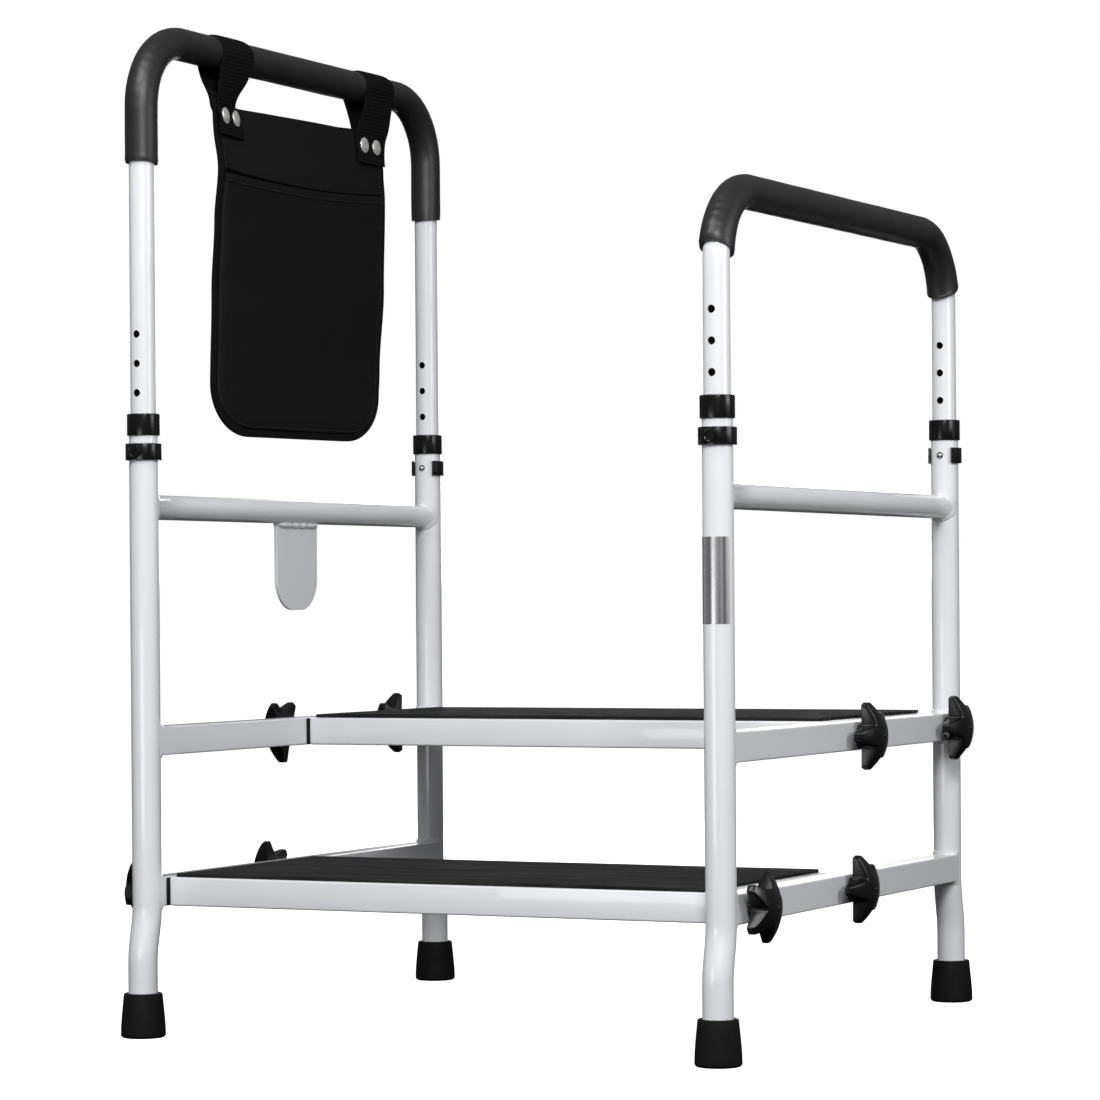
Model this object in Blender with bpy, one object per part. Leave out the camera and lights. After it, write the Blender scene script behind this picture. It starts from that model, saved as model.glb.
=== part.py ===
"""Bedside step with two height-adjustable hand rails and a hanging pouch.

Run it with: blender --background --python part.py
Metres, +Z up. +X is the user's right, -Y the side the user steps up from. The origin is on the floor
at the middle of the footprint.
"""

import math

import bmesh
import bpy
from mathutils import Matrix, Vector

# ---- driving dimensions (metres) --------------------------------------------------------------
GAP = 0.0003                     # clearance that touching pieces keep

LEG_X = 0.2710                   # half the spacing of the side frames
LEG_Y = 0.2620                   # half the spacing of a side frame's legs
LEG_R = 0.0127                   # 1 inch tube
LEG_BORE_R = 0.0115
LEG_TOP = 0.5350
LEG_BOTTOM = 0.0063
FOOT_JOG = 0.0076                # how far the S-bend sets each foot outward
JOG_LOW, JOG_HIGH = 0.064, 0.114
HOLE_PITCH = 0.0254
PIN_Z = 0.5060
HOLES_BELOW, HOLES_ABOVE = 2, 4
HOLE_R = 0.0033

INNER_R = 0.0111                 # 7/8 inch tube that slides in the leg
INNER_BORE_R = 0.0099
INNER_BOTTOM = 0.4160
BEND_R = 0.0620
GRIP_R = 0.0141
BAR_Z = {"left": 0.8670, "right": 0.7080}
GRIP_BOTTOM = {"left": 0.7540, "right": 0.6583}

CROSS_Z = 0.4583
CROSS_R, CROSS_BORE_R = 0.0108, 0.0096
TONGUE_WIDTH, TONGUE_BOTTOM, TONGUE_THICK, TONGUE_CORNER_R = 0.0745, 0.3678, 0.0030, 0.0290

TUBE = 0.0250                    # square tube of the rails and the step frames
TUBE_WALL = 0.0015
LOWER_Z, UPPER_Z = 0.1248, 0.2555  # rail and step frame centre heights
STEP_HALF_WIDTH = 0.2570
STEP_DEPTH = 0.2480
STEP_FRONT = {"lower": -0.2480, "upper": -0.0020}
STEP_Z = {"lower": LOWER_Z, "upper": UPPER_Z}
BRACE_HEIGHT = 0.0120
BOARD_THICK = 0.0120
MAT_THICK = 0.0028
MAT_SIDE_INSET, MAT_FRONT_INSET, MAT_BACK_INSET = 0.0060, 0.0020, 0.0050

KNOB_Y = {"lower": (-0.2290, -0.0120), "upper": (0.0110, 0.2280)}
KNOB_LOBES, KNOB_TIP_R, KNOB_VALLEY_R = 5, 0.0300, 0.0150
# where one lobe of each knob points, in degrees from +Y towards +Z, as they were tightened
KNOB_TURN_DEG = {
    ("left", "lower"): (54, 36), ("left", "upper"): (54, 0),
    ("right", "lower"): (0, 36), ("right", "upper"): (36, 36),
}
BOLT_R, BOLT_HOLE_R = 0.0040, 0.0045
NUT_R, NUT_LENGTH, NUT_THREAD_R = 0.0075, 0.0065, 0.00415
BOLT_PAST_NUT = 0.0022

COLLAR_LOW, COLLAR_HIGH, COLLAR_R = 0.5201, 0.5389, 0.0144
CLIP_HEIGHT, CLIP_INNER_R, CLIP_R, CLIP_ARM_DEG = 0.0143, 0.0130, 0.01585, 136
CLIP_PAD_R, CLIP_PAD_PROUD = 0.0062, 0.0012
PIN_R, PIN_PAST_TUBE = 0.0029, 0.0022

FOOT_HEIGHT, FOOT_R, FOOT_TOP_R, FOOT_EDGE = 0.0384, 0.0195, 0.0168, 0.0016

LABEL_LOW, LABEL_HIGH, LABEL_HALF_DEG, LABEL_THICK = 0.3550, 0.4250, 68, 0.00025

POUCH_TOP, POUCH_BOTTOM, POUCH_HALF_WIDTH, POUCH_CORNER_R = 0.8210, 0.5260, 0.1550, 0.0550
POUCH_MOUTH = 0.7620
POUCH_SHEET = 0.0022
POUCH_POCKET_DEPTH = 0.0100
STRAP_Y = (-0.1210, 0.1370)
STRAP_WIDTH, STRAP_THICK, STRAP_BOTTOM = 0.0500, 0.0016, 0.7930

TUBE_SIDES, RING_SIDES, HOLE_SIDES = 16, 32, 8

SIDES = {"left": -1, "right": 1}
ENDS = {"front": -1, "rear": 1}


# ---- scene and materials ----------------------------------------------------------------------
def clear_scene():
    for obj in list(bpy.data.objects):
        bpy.data.objects.remove(obj, do_unlink=True)


def material(name, color, roughness, metallic=0.0):
    made = bpy.data.materials.new(name)
    made.use_nodes = True
    shader = made.node_tree.nodes["Principled BSDF"]
    shader.inputs["Base Color"].default_value = (*color, 1)
    shader.inputs["Roughness"].default_value = roughness
    shader.inputs["Metallic"].default_value = metallic
    return made


def link_mesh(name, bm, finish, smooth_deg=40):
    """Makes an object from a bmesh, with its normals outward and its round faces smooth."""
    bmesh.ops.recalc_face_normals(bm, faces=bm.faces)
    if bm.calc_volume(signed=True) < 0:
        bmesh.ops.reverse_faces(bm, faces=bm.faces)
    mesh = bpy.data.meshes.new(name)
    bm.to_mesh(mesh)
    bm.free()
    if finish:
        mesh.materials.append(finish)
        mesh.shade_smooth()
        mesh.set_sharp_from_angle(angle=math.radians(smooth_deg))
    obj = bpy.data.objects.new(name, mesh)
    bpy.context.collection.objects.link(obj)
    return obj


def boolean(obj, other, operation="DIFFERENCE"):
    """Cuts or joins another object into obj. The other one is a helper that isn't a piece."""
    other.hide_render = True
    other.display_type = "WIRE"
    modifier = obj.modifiers.new(other.name, "BOOLEAN")
    modifier.operation = operation
    modifier.object = other


def parent_to(obj, parent):
    """Parents obj and keeps it where it stands."""
    obj.parent = parent
    obj.matrix_parent_inverse = Matrix.Translation(-parent.location)


def pivot(name, location):
    empty = bpy.data.objects.new(name, None)
    empty.location = location
    bpy.context.collection.objects.link(empty)
    return empty


# ---- shapes -----------------------------------------------------------------------------------
def skin(bm, rings, closed_ring=False):
    """Joins rings of equal length with quads. The ends stay open unless the rings close on themselves."""
    pairs = zip(rings, rings[1:] + rings[:1]) if closed_ring else zip(rings, rings[1:])
    for low, high in pairs:
        for k in range(len(low)):
            after = (k + 1) % len(low)
            bm.faces.new((low[k], low[after], high[after], high[k]))


def swept_tube(name, path, radius, bore, finish):
    """A hollow tube along a path that lies in a plane of constant X, open at both ends."""
    bm = bmesh.new()
    across = Vector((1, 0, 0))
    outer, inner = [], []
    runs = [(after - before).normalized() for before, after in zip(path, path[1:])]
    for point, arriving, leaving in zip(path, runs[:1] + runs, runs + runs[-1:]):
        mitre = (arriving + leaving).normalized()
        up = across.cross(mitre) / mitre.dot(leaving)
        for rings, r in ((outer, radius), (inner, bore)):
            turn = [2 * math.pi * (n + 0.5) / TUBE_SIDES for n in range(TUBE_SIDES)]
            rings.append([bm.verts.new(point + r * (math.cos(t) * across + math.sin(t) * up)) for t in turn])
    skin(bm, outer)
    skin(bm, inner)
    for end in (0, -1):
        skin(bm, [outer[end], inner[end]])
    return link_mesh(name, bm, finish)


def revolved(name, profile, finish, centre, axis="Z", steps=TUBE_SIDES):
    """A closed profile of (radius, height) points turned round an axis through centre."""
    bm = bmesh.new()
    rings = []
    for n in range(steps):
        turn = Matrix.Rotation(2 * math.pi * (n + 0.5) / steps, 3, "Z")
        rings.append([bm.verts.new(turn @ Vector((r, 0, z))) for r, z in profile])
    skin(bm, rings, closed_ring=True)
    bmesh.ops.remove_doubles(bm, verts=bm.verts, dist=1e-6)
    place(bm, centre, axis)
    return link_mesh(name, bm, finish)


def place(bm, centre, axis):
    """Turns a shape made round +Z to point along another axis, and moves it."""
    turn = {
        "Z": Matrix.Identity(4),
        "X": Matrix.Rotation(math.pi / 2, 4, "Y"),
        "-X": Matrix.Rotation(-math.pi / 2, 4, "Y"),
        "Y": Matrix.Rotation(-math.pi / 2, 4, "X"),
        "-Y": Matrix.Rotation(math.pi / 2, 4, "X"),
    }[axis]
    bmesh.ops.transform(bm, matrix=Matrix.Translation(centre) @ turn, verts=bm.verts)


def cylinder(name, radius, length, centre, axis="Z", sides=RING_SIDES, finish=None):
    """A solid cylinder centred on a point."""
    bm = bmesh.new()
    bmesh.ops.create_cone(bm, cap_ends=True, segments=sides, radius1=radius, radius2=radius, depth=length)
    place(bm, centre, axis)
    return link_mesh(name, bm, finish)


def box(name, low, high, finish=None):
    bm = bmesh.new()
    size = Vector(high) - Vector(low)
    middle = (Vector(high) + Vector(low)) / 2
    bmesh.ops.create_cube(bm, size=1, matrix=Matrix.Translation(middle) @ Matrix.Diagonal((*size, 1)))
    return link_mesh(name, bm, finish)


def plate(name, outline, low_x, high_x, finish):
    """A flat plate: an outline of (y, z) points, between two values of X."""
    bm = bmesh.new()
    loops = [[bm.verts.new((x, y, z)) for y, z in outline] for x in (low_x, high_x)]
    skin(bm, loops)
    for loop in loops:
        bm.faces.new(loop)
    return link_mesh(name, bm, finish)


def arc(centre, radius, start_deg, end_deg, steps):
    """Points along a circular arc, as (u, v) pairs."""
    span = [math.radians(start_deg + (end_deg - start_deg) * k / steps) for k in range(steps + 1)]
    return [(centre[0] + radius * math.cos(t), centre[1] + radius * math.sin(t)) for t in span]


def rounded_drop(half_width, top, bottom, corner_r, steps=5):
    """The outline of a panel that is square at its top and round at its two lower corners."""
    left = arc((-half_width + corner_r, bottom + corner_r), corner_r, 180, 270, steps)
    right = arc((half_width - corner_r, bottom + corner_r), corner_r, 270, 360, steps)
    return [(-half_width, top), *left, *right, (half_width, top)]


# ---- legs, handles and what joins them --------------------------------------------------------
def leg_path(x, end):
    """Up from the foot, through a gentle S-bend inward, then straight to the top."""
    foot_y = end * (LEG_Y + FOOT_JOG)
    steps = 5
    points = [Vector((x, foot_y, LEG_BOTTOM))]
    for k in range(steps + 1):
        share = k / steps
        eased = (1 - math.cos(math.pi * share)) / 2
        points.append(Vector((x, foot_y - end * FOOT_JOG * eased, JOG_LOW + (JOG_HIGH - JOG_LOW) * share)))
    points.append(Vector((x, end * LEG_Y, LEG_TOP)))
    return points


def handle_path(side):
    """A U turned upside down: up the front leg, over the bar, and down the rear leg."""
    x, bar_z = SIDES[side] * LEG_X, BAR_Z[side]
    bend_z, bend_y = bar_z - BEND_R, LEG_Y - BEND_R
    steps = 5
    front = arc((-bend_y, bend_z), BEND_R, 180, 90, steps)
    rear = arc((bend_y, bend_z), BEND_R, 90, 0, steps)
    return [Vector((x, y, z)) for y, z in [(-LEG_Y, INNER_BOTTOM), *front, *rear, (LEG_Y, INNER_BOTTOM)]]


def stretch_above(path, floor_z):
    """The stretch of an upside-down U that is above a height, cut square on its own lines."""
    kept = []
    for start, stop in zip(path, path[1:]):
        if (start.z < floor_z) != (stop.z < floor_z):
            kept.append(start.lerp(stop, (floor_z - start.z) / (stop.z - start.z)))
        if stop.z >= floor_z:
            kept.append(stop)
    return kept


def build_side_frame(side, paint, rubber, plastic):
    x = SIDES[side] * LEG_X
    for end_name, end in ENDS.items():
        leg = swept_tube(f"{side}_{end_name}_leg", leg_path(x, end), LEG_R, LEG_BORE_R, paint)
        centre = (x, end * LEG_Y, PIN_Z)
        drill = cylinder(f"drill_{leg.name}", HOLE_R, 0.04, centre, "Y", HOLE_SIDES)
        boolean(leg, drill)
        foot_centre = (x, end * (LEG_Y + FOOT_JOG), 0)
        revolved(f"{side}_{end_name}_foot", foot_profile(), rubber, foot_centre)
        revolved(f"{side}_{end_name}_collar", collar_profile(), plastic, (x, end * LEG_Y, 0))

    cross_ends = [Vector((x, end * LEG_Y, CROSS_Z)) for end in ENDS.values()]
    cross_bar = swept_tube(f"{side}_cross_bar", cross_ends, CROSS_R, CROSS_BORE_R, paint)
    cope(cross_bar, x, CROSS_Z)
    for level, rail_z in STEP_Z.items():
        build_rail(side, level, x, rail_z, paint)


def foot_profile():
    """A cup for the tube's end: outer taper, rounded floor edge, rim and bore."""
    bore = LEG_R + GAP
    floor = LEG_BOTTOM - GAP
    edge = FOOT_EDGE
    return [
        (0, 0), (FOOT_R - edge, 0), (FOOT_R, edge), (FOOT_TOP_R, FOOT_HEIGHT - edge),
        (FOOT_TOP_R - edge, FOOT_HEIGHT), (bore, FOOT_HEIGHT), (bore, floor), (0, floor),
    ]


def collar_profile():
    """A sleeve over the leg's top, with a lip that centres the sliding tube."""
    sleeve, lip = LEG_R + GAP, LEG_BORE_R
    chamfer = 0.0008
    return [
        (sleeve, COLLAR_LOW), (COLLAR_R, COLLAR_LOW), (COLLAR_R, COLLAR_HIGH - chamfer),
        (COLLAR_R - chamfer, COLLAR_HIGH), (lip, COLLAR_HIGH), (lip, LEG_TOP + GAP), (sleeve, LEG_TOP + GAP),
    ]


def cope(bar, x, z):
    """Cuts both ends of a bar to fit round the legs that it meets."""
    for end_name, end in ENDS.items():
        cutter = cylinder(f"cope_{bar.name}_{end_name}", LEG_R + GAP, 0.06, (x, end * LEG_Y, z))
        boolean(bar, cutter)
        beyond_low = (x - 0.02, end * LEG_Y - (0.02 if end < 0 else 0), z - 0.02)
        beyond_high = (x + 0.02, end * LEG_Y + (0.02 if end > 0 else 0), z + 0.02)
        boolean(bar, box(f"trim_{bar.name}_{end_name}", beyond_low, beyond_high))


def build_rail(side, level, x, z, paint):
    """A square tube between the legs, drilled through for its two knob bolts."""
    half, bore = TUBE / 2, TUBE / 2 - TUBE_WALL
    over = 0.005
    name = f"{side}_{level}_rail"
    rail = box(name, (x - half, -LEG_Y - over, z - half), (x + half, LEG_Y + over, z + half), paint)
    hollow_low = (x - bore, -LEG_Y - 2 * over, z - bore)
    hollow_high = (x + bore, LEG_Y + 2 * over, z + bore)
    boolean(rail, box(f"hollow_{name}", hollow_low, hollow_high))
    cope(rail, x, z)
    for k, y in enumerate(KNOB_Y[level]):
        boolean(rail, cylinder(f"drill_{name}_{k}", BOLT_HOLE_R, 0.04, (x, y, z), "X", 12))


def build_tongue(paint):
    """The round-ended plate welded under the left cross bar."""
    top = CROSS_Z - CROSS_R - GAP
    outline = rounded_drop(TONGUE_WIDTH / 2, top, TONGUE_BOTTOM, TONGUE_CORNER_R)
    plate("left_tongue_plate", outline, -LEG_X - TONGUE_THICK / 2, -LEG_X + TONGUE_THICK / 2, paint)


def build_handle(side, paint, foam):
    """The sliding U tube with its row of holes, and the foam sleeve over its top."""
    tube = swept_tube(f"{side}_handle_tube", handle_path(side), INNER_R, INNER_BORE_R, paint)
    for end_name, end in ENDS.items():
        for k in range(-HOLES_BELOW, HOLES_ABOVE + 1):
            centre = (SIDES[side] * LEG_X, end * LEG_Y, PIN_Z + k * HOLE_PITCH)
            drill = cylinder(f"drill_{side}_handle_{end_name}_{k}", HOLE_R, 0.04, centre, "Y", HOLE_SIDES)
            boolean(tube, drill)
    path = stretch_above(handle_path(side), GRIP_BOTTOM[side])
    grip = swept_tube(f"{side}_foam_grip", path, GRIP_R, INNER_R + GAP, foam)
    slide = pivot(f"{side}_handle_slide", (SIDES[side] * LEG_X, 0, PIN_Z))
    parent_to(tube, slide)
    parent_to(grip, slide)
    return slide


def build_clip(side, end_name, plastic, steel):
    """A C-shaped snap clip round the leg, and the steel pin that it carries through both tubes."""
    end = ENDS[end_name]
    centre = Vector((SIDES[side] * LEG_X, end * LEG_Y, PIN_Z))
    facing = 90 * end
    name = f"{side}_{end_name}_snap_clip"
    steps = 18
    inner = arc((0, 0), CLIP_INNER_R, facing - CLIP_ARM_DEG, facing + CLIP_ARM_DEG, steps)
    outer = arc((0, 0), CLIP_R, facing - CLIP_ARM_DEG, facing + CLIP_ARM_DEG, steps)
    bm = bmesh.new()
    loops = []
    for z in (-CLIP_HEIGHT / 2, CLIP_HEIGHT / 2):
        loops.append([bm.verts.new(centre + Vector((u, v, z))) for u, v in outer + inner[::-1]])
    skin(bm, loops)
    last = 2 * steps + 1
    for loop in loops:
        for k in range(steps):
            bm.faces.new((loop[k], loop[k + 1], loop[last - k - 1], loop[last - k]))
    clip = link_mesh(name, bm, plastic)
    pad_length = 0.004
    pad_y = centre.y + end * (CLIP_R + CLIP_PAD_PROUD - pad_length / 2)
    pad = cylinder(f"pad_{name}", CLIP_PAD_R, pad_length, (centre.x, pad_y, centre.z), "Y", TUBE_SIDES)
    boolean(clip, pad, "UNION")
    socket_end = CLIP_R - 0.0008
    socket = cylinder(f"socket_{name}", PIN_R + GAP, 2 * (socket_end - CLIP_INNER_R),
                      (centre.x, centre.y + end * CLIP_INNER_R, centre.z), "Y", TUBE_SIDES)
    boolean(clip, socket)

    root = socket_end - GAP
    tip = -(LEG_R + PIN_PAST_TUBE)
    taper = 0.0012
    profile = [(0, tip), (PIN_R - taper, tip), (PIN_R, tip + taper), (PIN_R, root), (0, root)]
    axis = "Y" if end > 0 else "-Y"
    pin = revolved(f"{side}_{end_name}_clip_pin", profile, steel, centre, axis, 12)
    pull = pivot(f"{side}_{end_name}_clip_pull", centre)
    parent_to(clip, pull)
    parent_to(pin, pull)


def build_label(foil):
    """A blank foil sticker wrapped round the front of the right front leg."""
    inner_r, outer_r = LEG_R + GAP, LEG_R + GAP + LABEL_THICK
    span = (-90 - LABEL_HALF_DEG, -90 + LABEL_HALF_DEG, 12)
    outline = arc((LEG_X, -LEG_Y), outer_r, *span) + arc((LEG_X, -LEG_Y), inner_r, *span)[::-1]
    bm = bmesh.new()
    loops = [[bm.verts.new((u, v, z)) for u, v in outline] for z in (LABEL_LOW, LABEL_HIGH)]
    skin(bm, loops)
    for loop in loops:
        bm.faces.new(loop)
    link_mesh("right_front_label", bm, foil)


# ---- steps ------------------------------------------------------------------------------------
def build_step(level, paint, ply, rubber):
    """A welded frame of square tube with a brace, a board let into it, and a mat over both."""
    front, z = STEP_FRONT[level], STEP_Z[level]
    back = front + STEP_DEPTH
    half, wide = TUBE / 2, STEP_HALF_WIDTH
    top = z + half
    name = f"{level}_step_frame"
    frame = box(name, (-wide, front, z - half), (wide, back, top), paint)
    boolean(frame, box(f"well_{name}", (-wide + TUBE, front + TUBE, z - 0.02), (wide - TUBE, back - TUBE, z + 0.02)))
    boolean(frame, hollow_ring(f"hollow_{name}", front, back, z))
    brace_low = (-half, front + TUBE - 0.001, z - half)
    brace_high = (half, back - TUBE + 0.001, z - half + BRACE_HEIGHT)
    boolean(frame, box(f"brace_{name}", brace_low, brace_high), "UNION")
    for side, sign in SIDES.items():
        for k, y in enumerate(KNOB_Y[level]):
            nut_x = sign * (wide - TUBE_WALL - NUT_LENGTH / 2 + 0.0002)
            nut = cylinder(f"nut_{name}_{side}_{k}", NUT_R, NUT_LENGTH, (nut_x, y, z), "X", 6)
            boolean(frame, nut, "UNION")
            thread_centre = (sign * wide, y, z)
            boolean(frame, cylinder(f"thread_{name}_{side}_{k}", NUT_THREAD_R, 0.03, thread_centre, "X", 12))

    fit = TUBE + GAP
    board_low = (-wide + fit, front + fit, top - BOARD_THICK)
    box(f"{level}_step_board", board_low, (wide - fit, back - fit, top), ply)
    mat_low = (-wide + MAT_SIDE_INSET, front + MAT_FRONT_INSET, top + GAP)
    mat_high = (wide - MAT_SIDE_INSET, back - MAT_BACK_INSET, top + GAP + MAT_THICK)
    box(f"{level}_step_mat", mat_low, mat_high, rubber)


def hollow_ring(name, front, back, z):
    """The inside of the four mitred tubes, as one rectangular ring."""
    bm = bmesh.new()
    half = TUBE / 2 - TUBE_WALL
    rings = []
    corners = [(-1, front, 1), (1, front, 1), (1, back, -1), (-1, back, -1)]
    for sign, y, inward in corners:
        near, far = TUBE_WALL, TUBE - TUBE_WALL
        section = [(near, -half), (far, -half), (far, half), (near, half)]
        rings.append([
            bm.verts.new((sign * (STEP_HALF_WIDTH - u), y + inward * u, z + v)) for u, v in section
        ])
    skin(bm, rings, closed_ring=True)
    return link_mesh(name, bm, None)


# ---- knobs ------------------------------------------------------------------------------------
def lobed_outline(tip_r, valley_r, start):
    """A five-lobed star, with each lobe a blunt tip and each valley a shallow arc."""
    points = []
    pitch = 2 * math.pi / KNOB_LOBES
    shape = ((-0.21, 0.88), (-0.13, 1.0), (0.13, 1.0), (0.21, 0.88), (0.40, 0.0), (0.60, 0.0))
    for lobe in range(KNOB_LOBES):
        for offset, share in shape:
            t = start + (lobe + offset) * pitch
            r = valley_r + (tip_r - valley_r) * share
            points.append((r * math.cos(t), r * math.sin(t)))
    return points


def build_knob(side, level, k, plastic, steel):
    """A star knob with a domed face and a hub against the rail, and the bolt moulded into it."""
    sign = SIDES[side]
    axis = "X" if sign > 0 else "-X"
    face = Vector((sign * (LEG_X + TUBE / 2), KNOB_Y[level][k], STEP_Z[level]))
    start_deg = 90 + sign * KNOB_TURN_DEG[side, level][k]
    start = math.radians(start_deg)
    count = KNOB_LOBES * 6
    hub = arc((0, 0), 0.0103, start_deg, start_deg + 360 * (count - 1) / count, count - 1)
    layers = [
        (GAP, hub), (0.0060, hub), (0.0064, lobed_outline(KNOB_TIP_R - 0.0010, KNOB_VALLEY_R, start)),
        (0.0120, lobed_outline(KNOB_TIP_R, KNOB_VALLEY_R + 0.0008, start)),
        (0.0195, lobed_outline(0.0200, 0.0130, start)), (0.0240, lobed_outline(0.0070, 0.0060, start)),
    ]
    bm = bmesh.new()
    rings = [[bm.verts.new((u, v, height)) for u, v in outline] for height, outline in layers]
    skin(bm, rings)
    bm.faces.new(rings[0])
    bm.faces.new(rings[-1])
    place(bm, face, axis)
    end_name = ("front", "rear")[k]
    name = f"{side}_{level}_{end_name}_knob"
    knob = link_mesh(name, bm, plastic)
    bore_depth = 0.014
    boolean(knob, cylinder(f"bore_{name}", BOLT_R + GAP, 2 * bore_depth, face, "X", 12))

    inside = LEG_X + TUBE / 2 - STEP_HALF_WIDTH + TUBE_WALL + NUT_LENGTH + BOLT_PAST_NUT
    chamfer = 0.0008
    head = bore_depth - GAP
    profile = [(0, -inside), (BOLT_R - chamfer, -inside), (BOLT_R, -inside + chamfer), (BOLT_R, head), (0, head)]
    bolt = revolved(f"{side}_{level}_{end_name}_knob_bolt", profile, steel, face, axis, 12)
    turn = pivot(f"{name}_turn", face)
    parent_to(knob, turn)
    parent_to(bolt, turn)


# ---- pouch ------------------------------------------------------------------------------------
def build_pouch(slide, fabric, webbing):
    """A flat back panel, a pocket on its inner face with an open mouth, and two loops over the grip."""
    swing = pivot("pouch_swing", (-LEG_X, 0, BAR_Z["left"]))
    back_x = -LEG_X - POUCH_SHEET / 2
    outline = rounded_drop(POUCH_HALF_WIDTH, POUCH_TOP, POUCH_BOTTOM, POUCH_CORNER_R)
    panel = plate("pouch_back_panel", outline, back_x, back_x + POUCH_SHEET, fabric)

    name = "pouch_front_pocket"
    near = back_x + POUCH_SHEET + GAP
    far = near + POUCH_POCKET_DEPTH + POUCH_SHEET
    outline = rounded_drop(POUCH_HALF_WIDTH, POUCH_MOUTH, POUCH_BOTTOM, POUCH_CORNER_R)
    pocket = plate(name, outline, near, far, fabric)
    inner_half = POUCH_HALF_WIDTH - POUCH_SHEET
    over = 0.01
    inner = rounded_drop(inner_half, POUCH_MOUTH + over, POUCH_BOTTOM + POUCH_SHEET, POUCH_CORNER_R - POUCH_SHEET)
    hollow = plate(f"hollow_{name}", inner, near - over, far - POUCH_SHEET, None)
    boolean(pocket, hollow)

    for piece in (panel, pocket):
        parent_to(piece, swing)
    for strap_name, y in zip(("front", "rear"), STRAP_Y):
        parent_to(build_strap(f"pouch_{strap_name}_strap", y, webbing), swing)
    swing.parent = slide
    swing.matrix_parent_inverse = Matrix.Translation(-slide.location)


def build_strap(name, y, webbing):
    """A loop of webbing round the grip, whose two ends close on the panel's top edge."""
    pinch = POUCH_SHEET / 2 + GAP
    knee_z = POUCH_TOP + 0.006
    loops = []
    for offset in (0, STRAP_THICK):
        r = GRIP_R + GAP + 0.0002 + offset
        over_bar = arc((0, BAR_Z["left"]), r, 205, -25, 14)
        x = pinch + offset
        loops.append([(-x, STRAP_BOTTOM), (-x, knee_z), *over_bar, (x, knee_z), (x, STRAP_BOTTOM)])
    inner, outer = loops
    bm = bmesh.new()
    sides = []
    for edge in (-STRAP_WIDTH / 2, STRAP_WIDTH / 2):
        sides.append([bm.verts.new((u - LEG_X, y + edge, v)) for u, v in outer + inner[::-1]])
    skin(bm, sides)
    count = len(outer)
    last = 2 * count - 1
    for loop in sides:
        for k in range(count - 1):
            bm.faces.new((loop[k], loop[k + 1], loop[last - k - 1], loop[last - k]))
    return link_mesh(name, bm, webbing)


# ---- the whole object -------------------------------------------------------------------------
def build():
    clear_scene()
    paint = material("white_powder_coat", (0.86, 0.87, 0.89), 0.30)
    foam = material("black_foam", (0.020, 0.020, 0.022), 0.85)
    plastic = material("black_plastic", (0.015, 0.015, 0.016), 0.35)
    rubber = material("black_rubber", (0.018, 0.018, 0.018), 0.75)
    steel = material("zinc_steel", (0.62, 0.62, 0.62), 0.30, 1.0)
    foil = material("silver_foil", (0.72, 0.72, 0.73), 0.35, 0.9)
    ply = material("black_board", (0.05, 0.045, 0.04), 0.80)
    fabric = material("black_fabric", (0.018, 0.018, 0.020), 0.90)
    webbing = material("black_webbing", (0.022, 0.022, 0.024), 0.80)

    slides = {}
    for side in SIDES:
        build_side_frame(side, paint, rubber, plastic)
        slides[side] = build_handle(side, paint, foam)
        for end_name in ENDS:
            build_clip(side, end_name, plastic, steel)
        for level in STEP_Z:
            for k in range(len(KNOB_Y[level])):
                build_knob(side, level, k, plastic, steel)
    build_tongue(paint)
    build_label(foil)
    for level in STEP_Z:
        build_step(level, paint, ply, rubber)
    build_pouch(slides["left"], fabric, webbing)


build()
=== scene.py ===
"""The looks of a bedside step with two height-adjustable hand rails and a hanging pouch.

Metres, +Z up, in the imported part's own frame: +X is the user's right, -Y the side the user steps up
from, and the floor is z = 0. Every place comes from the frame's boxes; the sizes that a box doesn't
give, such as a tube's wall, are named below.
"""

import math
from itertools import accumulate

import bmesh
import bpy
import numpy as np
from mathutils import Matrix, Vector, noise


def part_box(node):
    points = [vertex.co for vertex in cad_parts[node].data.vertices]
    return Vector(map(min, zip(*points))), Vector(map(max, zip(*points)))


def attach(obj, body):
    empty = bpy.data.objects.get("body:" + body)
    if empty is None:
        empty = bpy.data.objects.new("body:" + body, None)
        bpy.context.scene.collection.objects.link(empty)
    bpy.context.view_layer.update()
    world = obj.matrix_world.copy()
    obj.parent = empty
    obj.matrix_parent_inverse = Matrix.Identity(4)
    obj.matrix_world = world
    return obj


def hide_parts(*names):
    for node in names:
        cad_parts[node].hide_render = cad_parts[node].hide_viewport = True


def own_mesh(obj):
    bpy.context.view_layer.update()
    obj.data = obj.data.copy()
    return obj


# ---- sizes (metres) ----
LEG_R, LEG_BORE_R = 0.0127, 0.0115
JOG_LOW, JOG_HIGH = 0.064, 0.114         # the S-bend that sets each foot outward
HOLE_PITCH, HOLES_BELOW, HOLES_ABOVE, HOLE_R = 0.0254, 2, 4, 0.0033
INNER_R, INNER_BORE_R = 0.0111, 0.0099
BEND_R = 0.0620
TUBE_STEPS = 56                          # sides of a round tube
CAD_FLAT = math.cos(math.pi / 16)        # the share of its radius that a 16-sided CAD tube's box reaches
GRIP_R = 0.0144
GRIP_ENDS = {                            # how far each end is shifted up, and the slant of its cut
    ("left", "front"): (0.0023, 6), ("left", "rear"): (-0.0028, 4),
    ("right", "front"): (0.0000, 26), ("right", "rear"): (0.0012, 26),
}
CROSS_R = 0.0108
WELD = 0.0030                            # leg length of a weld bead
TUBE_EDGE_R = 0.0018                     # outer corner of the square tube
KNOB_TIP_R, KNOB_TIP_HALF, KNOB_VALLEY_R = 0.0300, 0.0034, 0.0148
KNOB_TURN_DEG = {                        # how the front and the rear knob are turned
    ("left", "lower"): (54, 36), ("left", "upper"): (54, 0),
    ("right", "lower"): (0, 36), ("right", "upper"): (36, 36),
}
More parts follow.
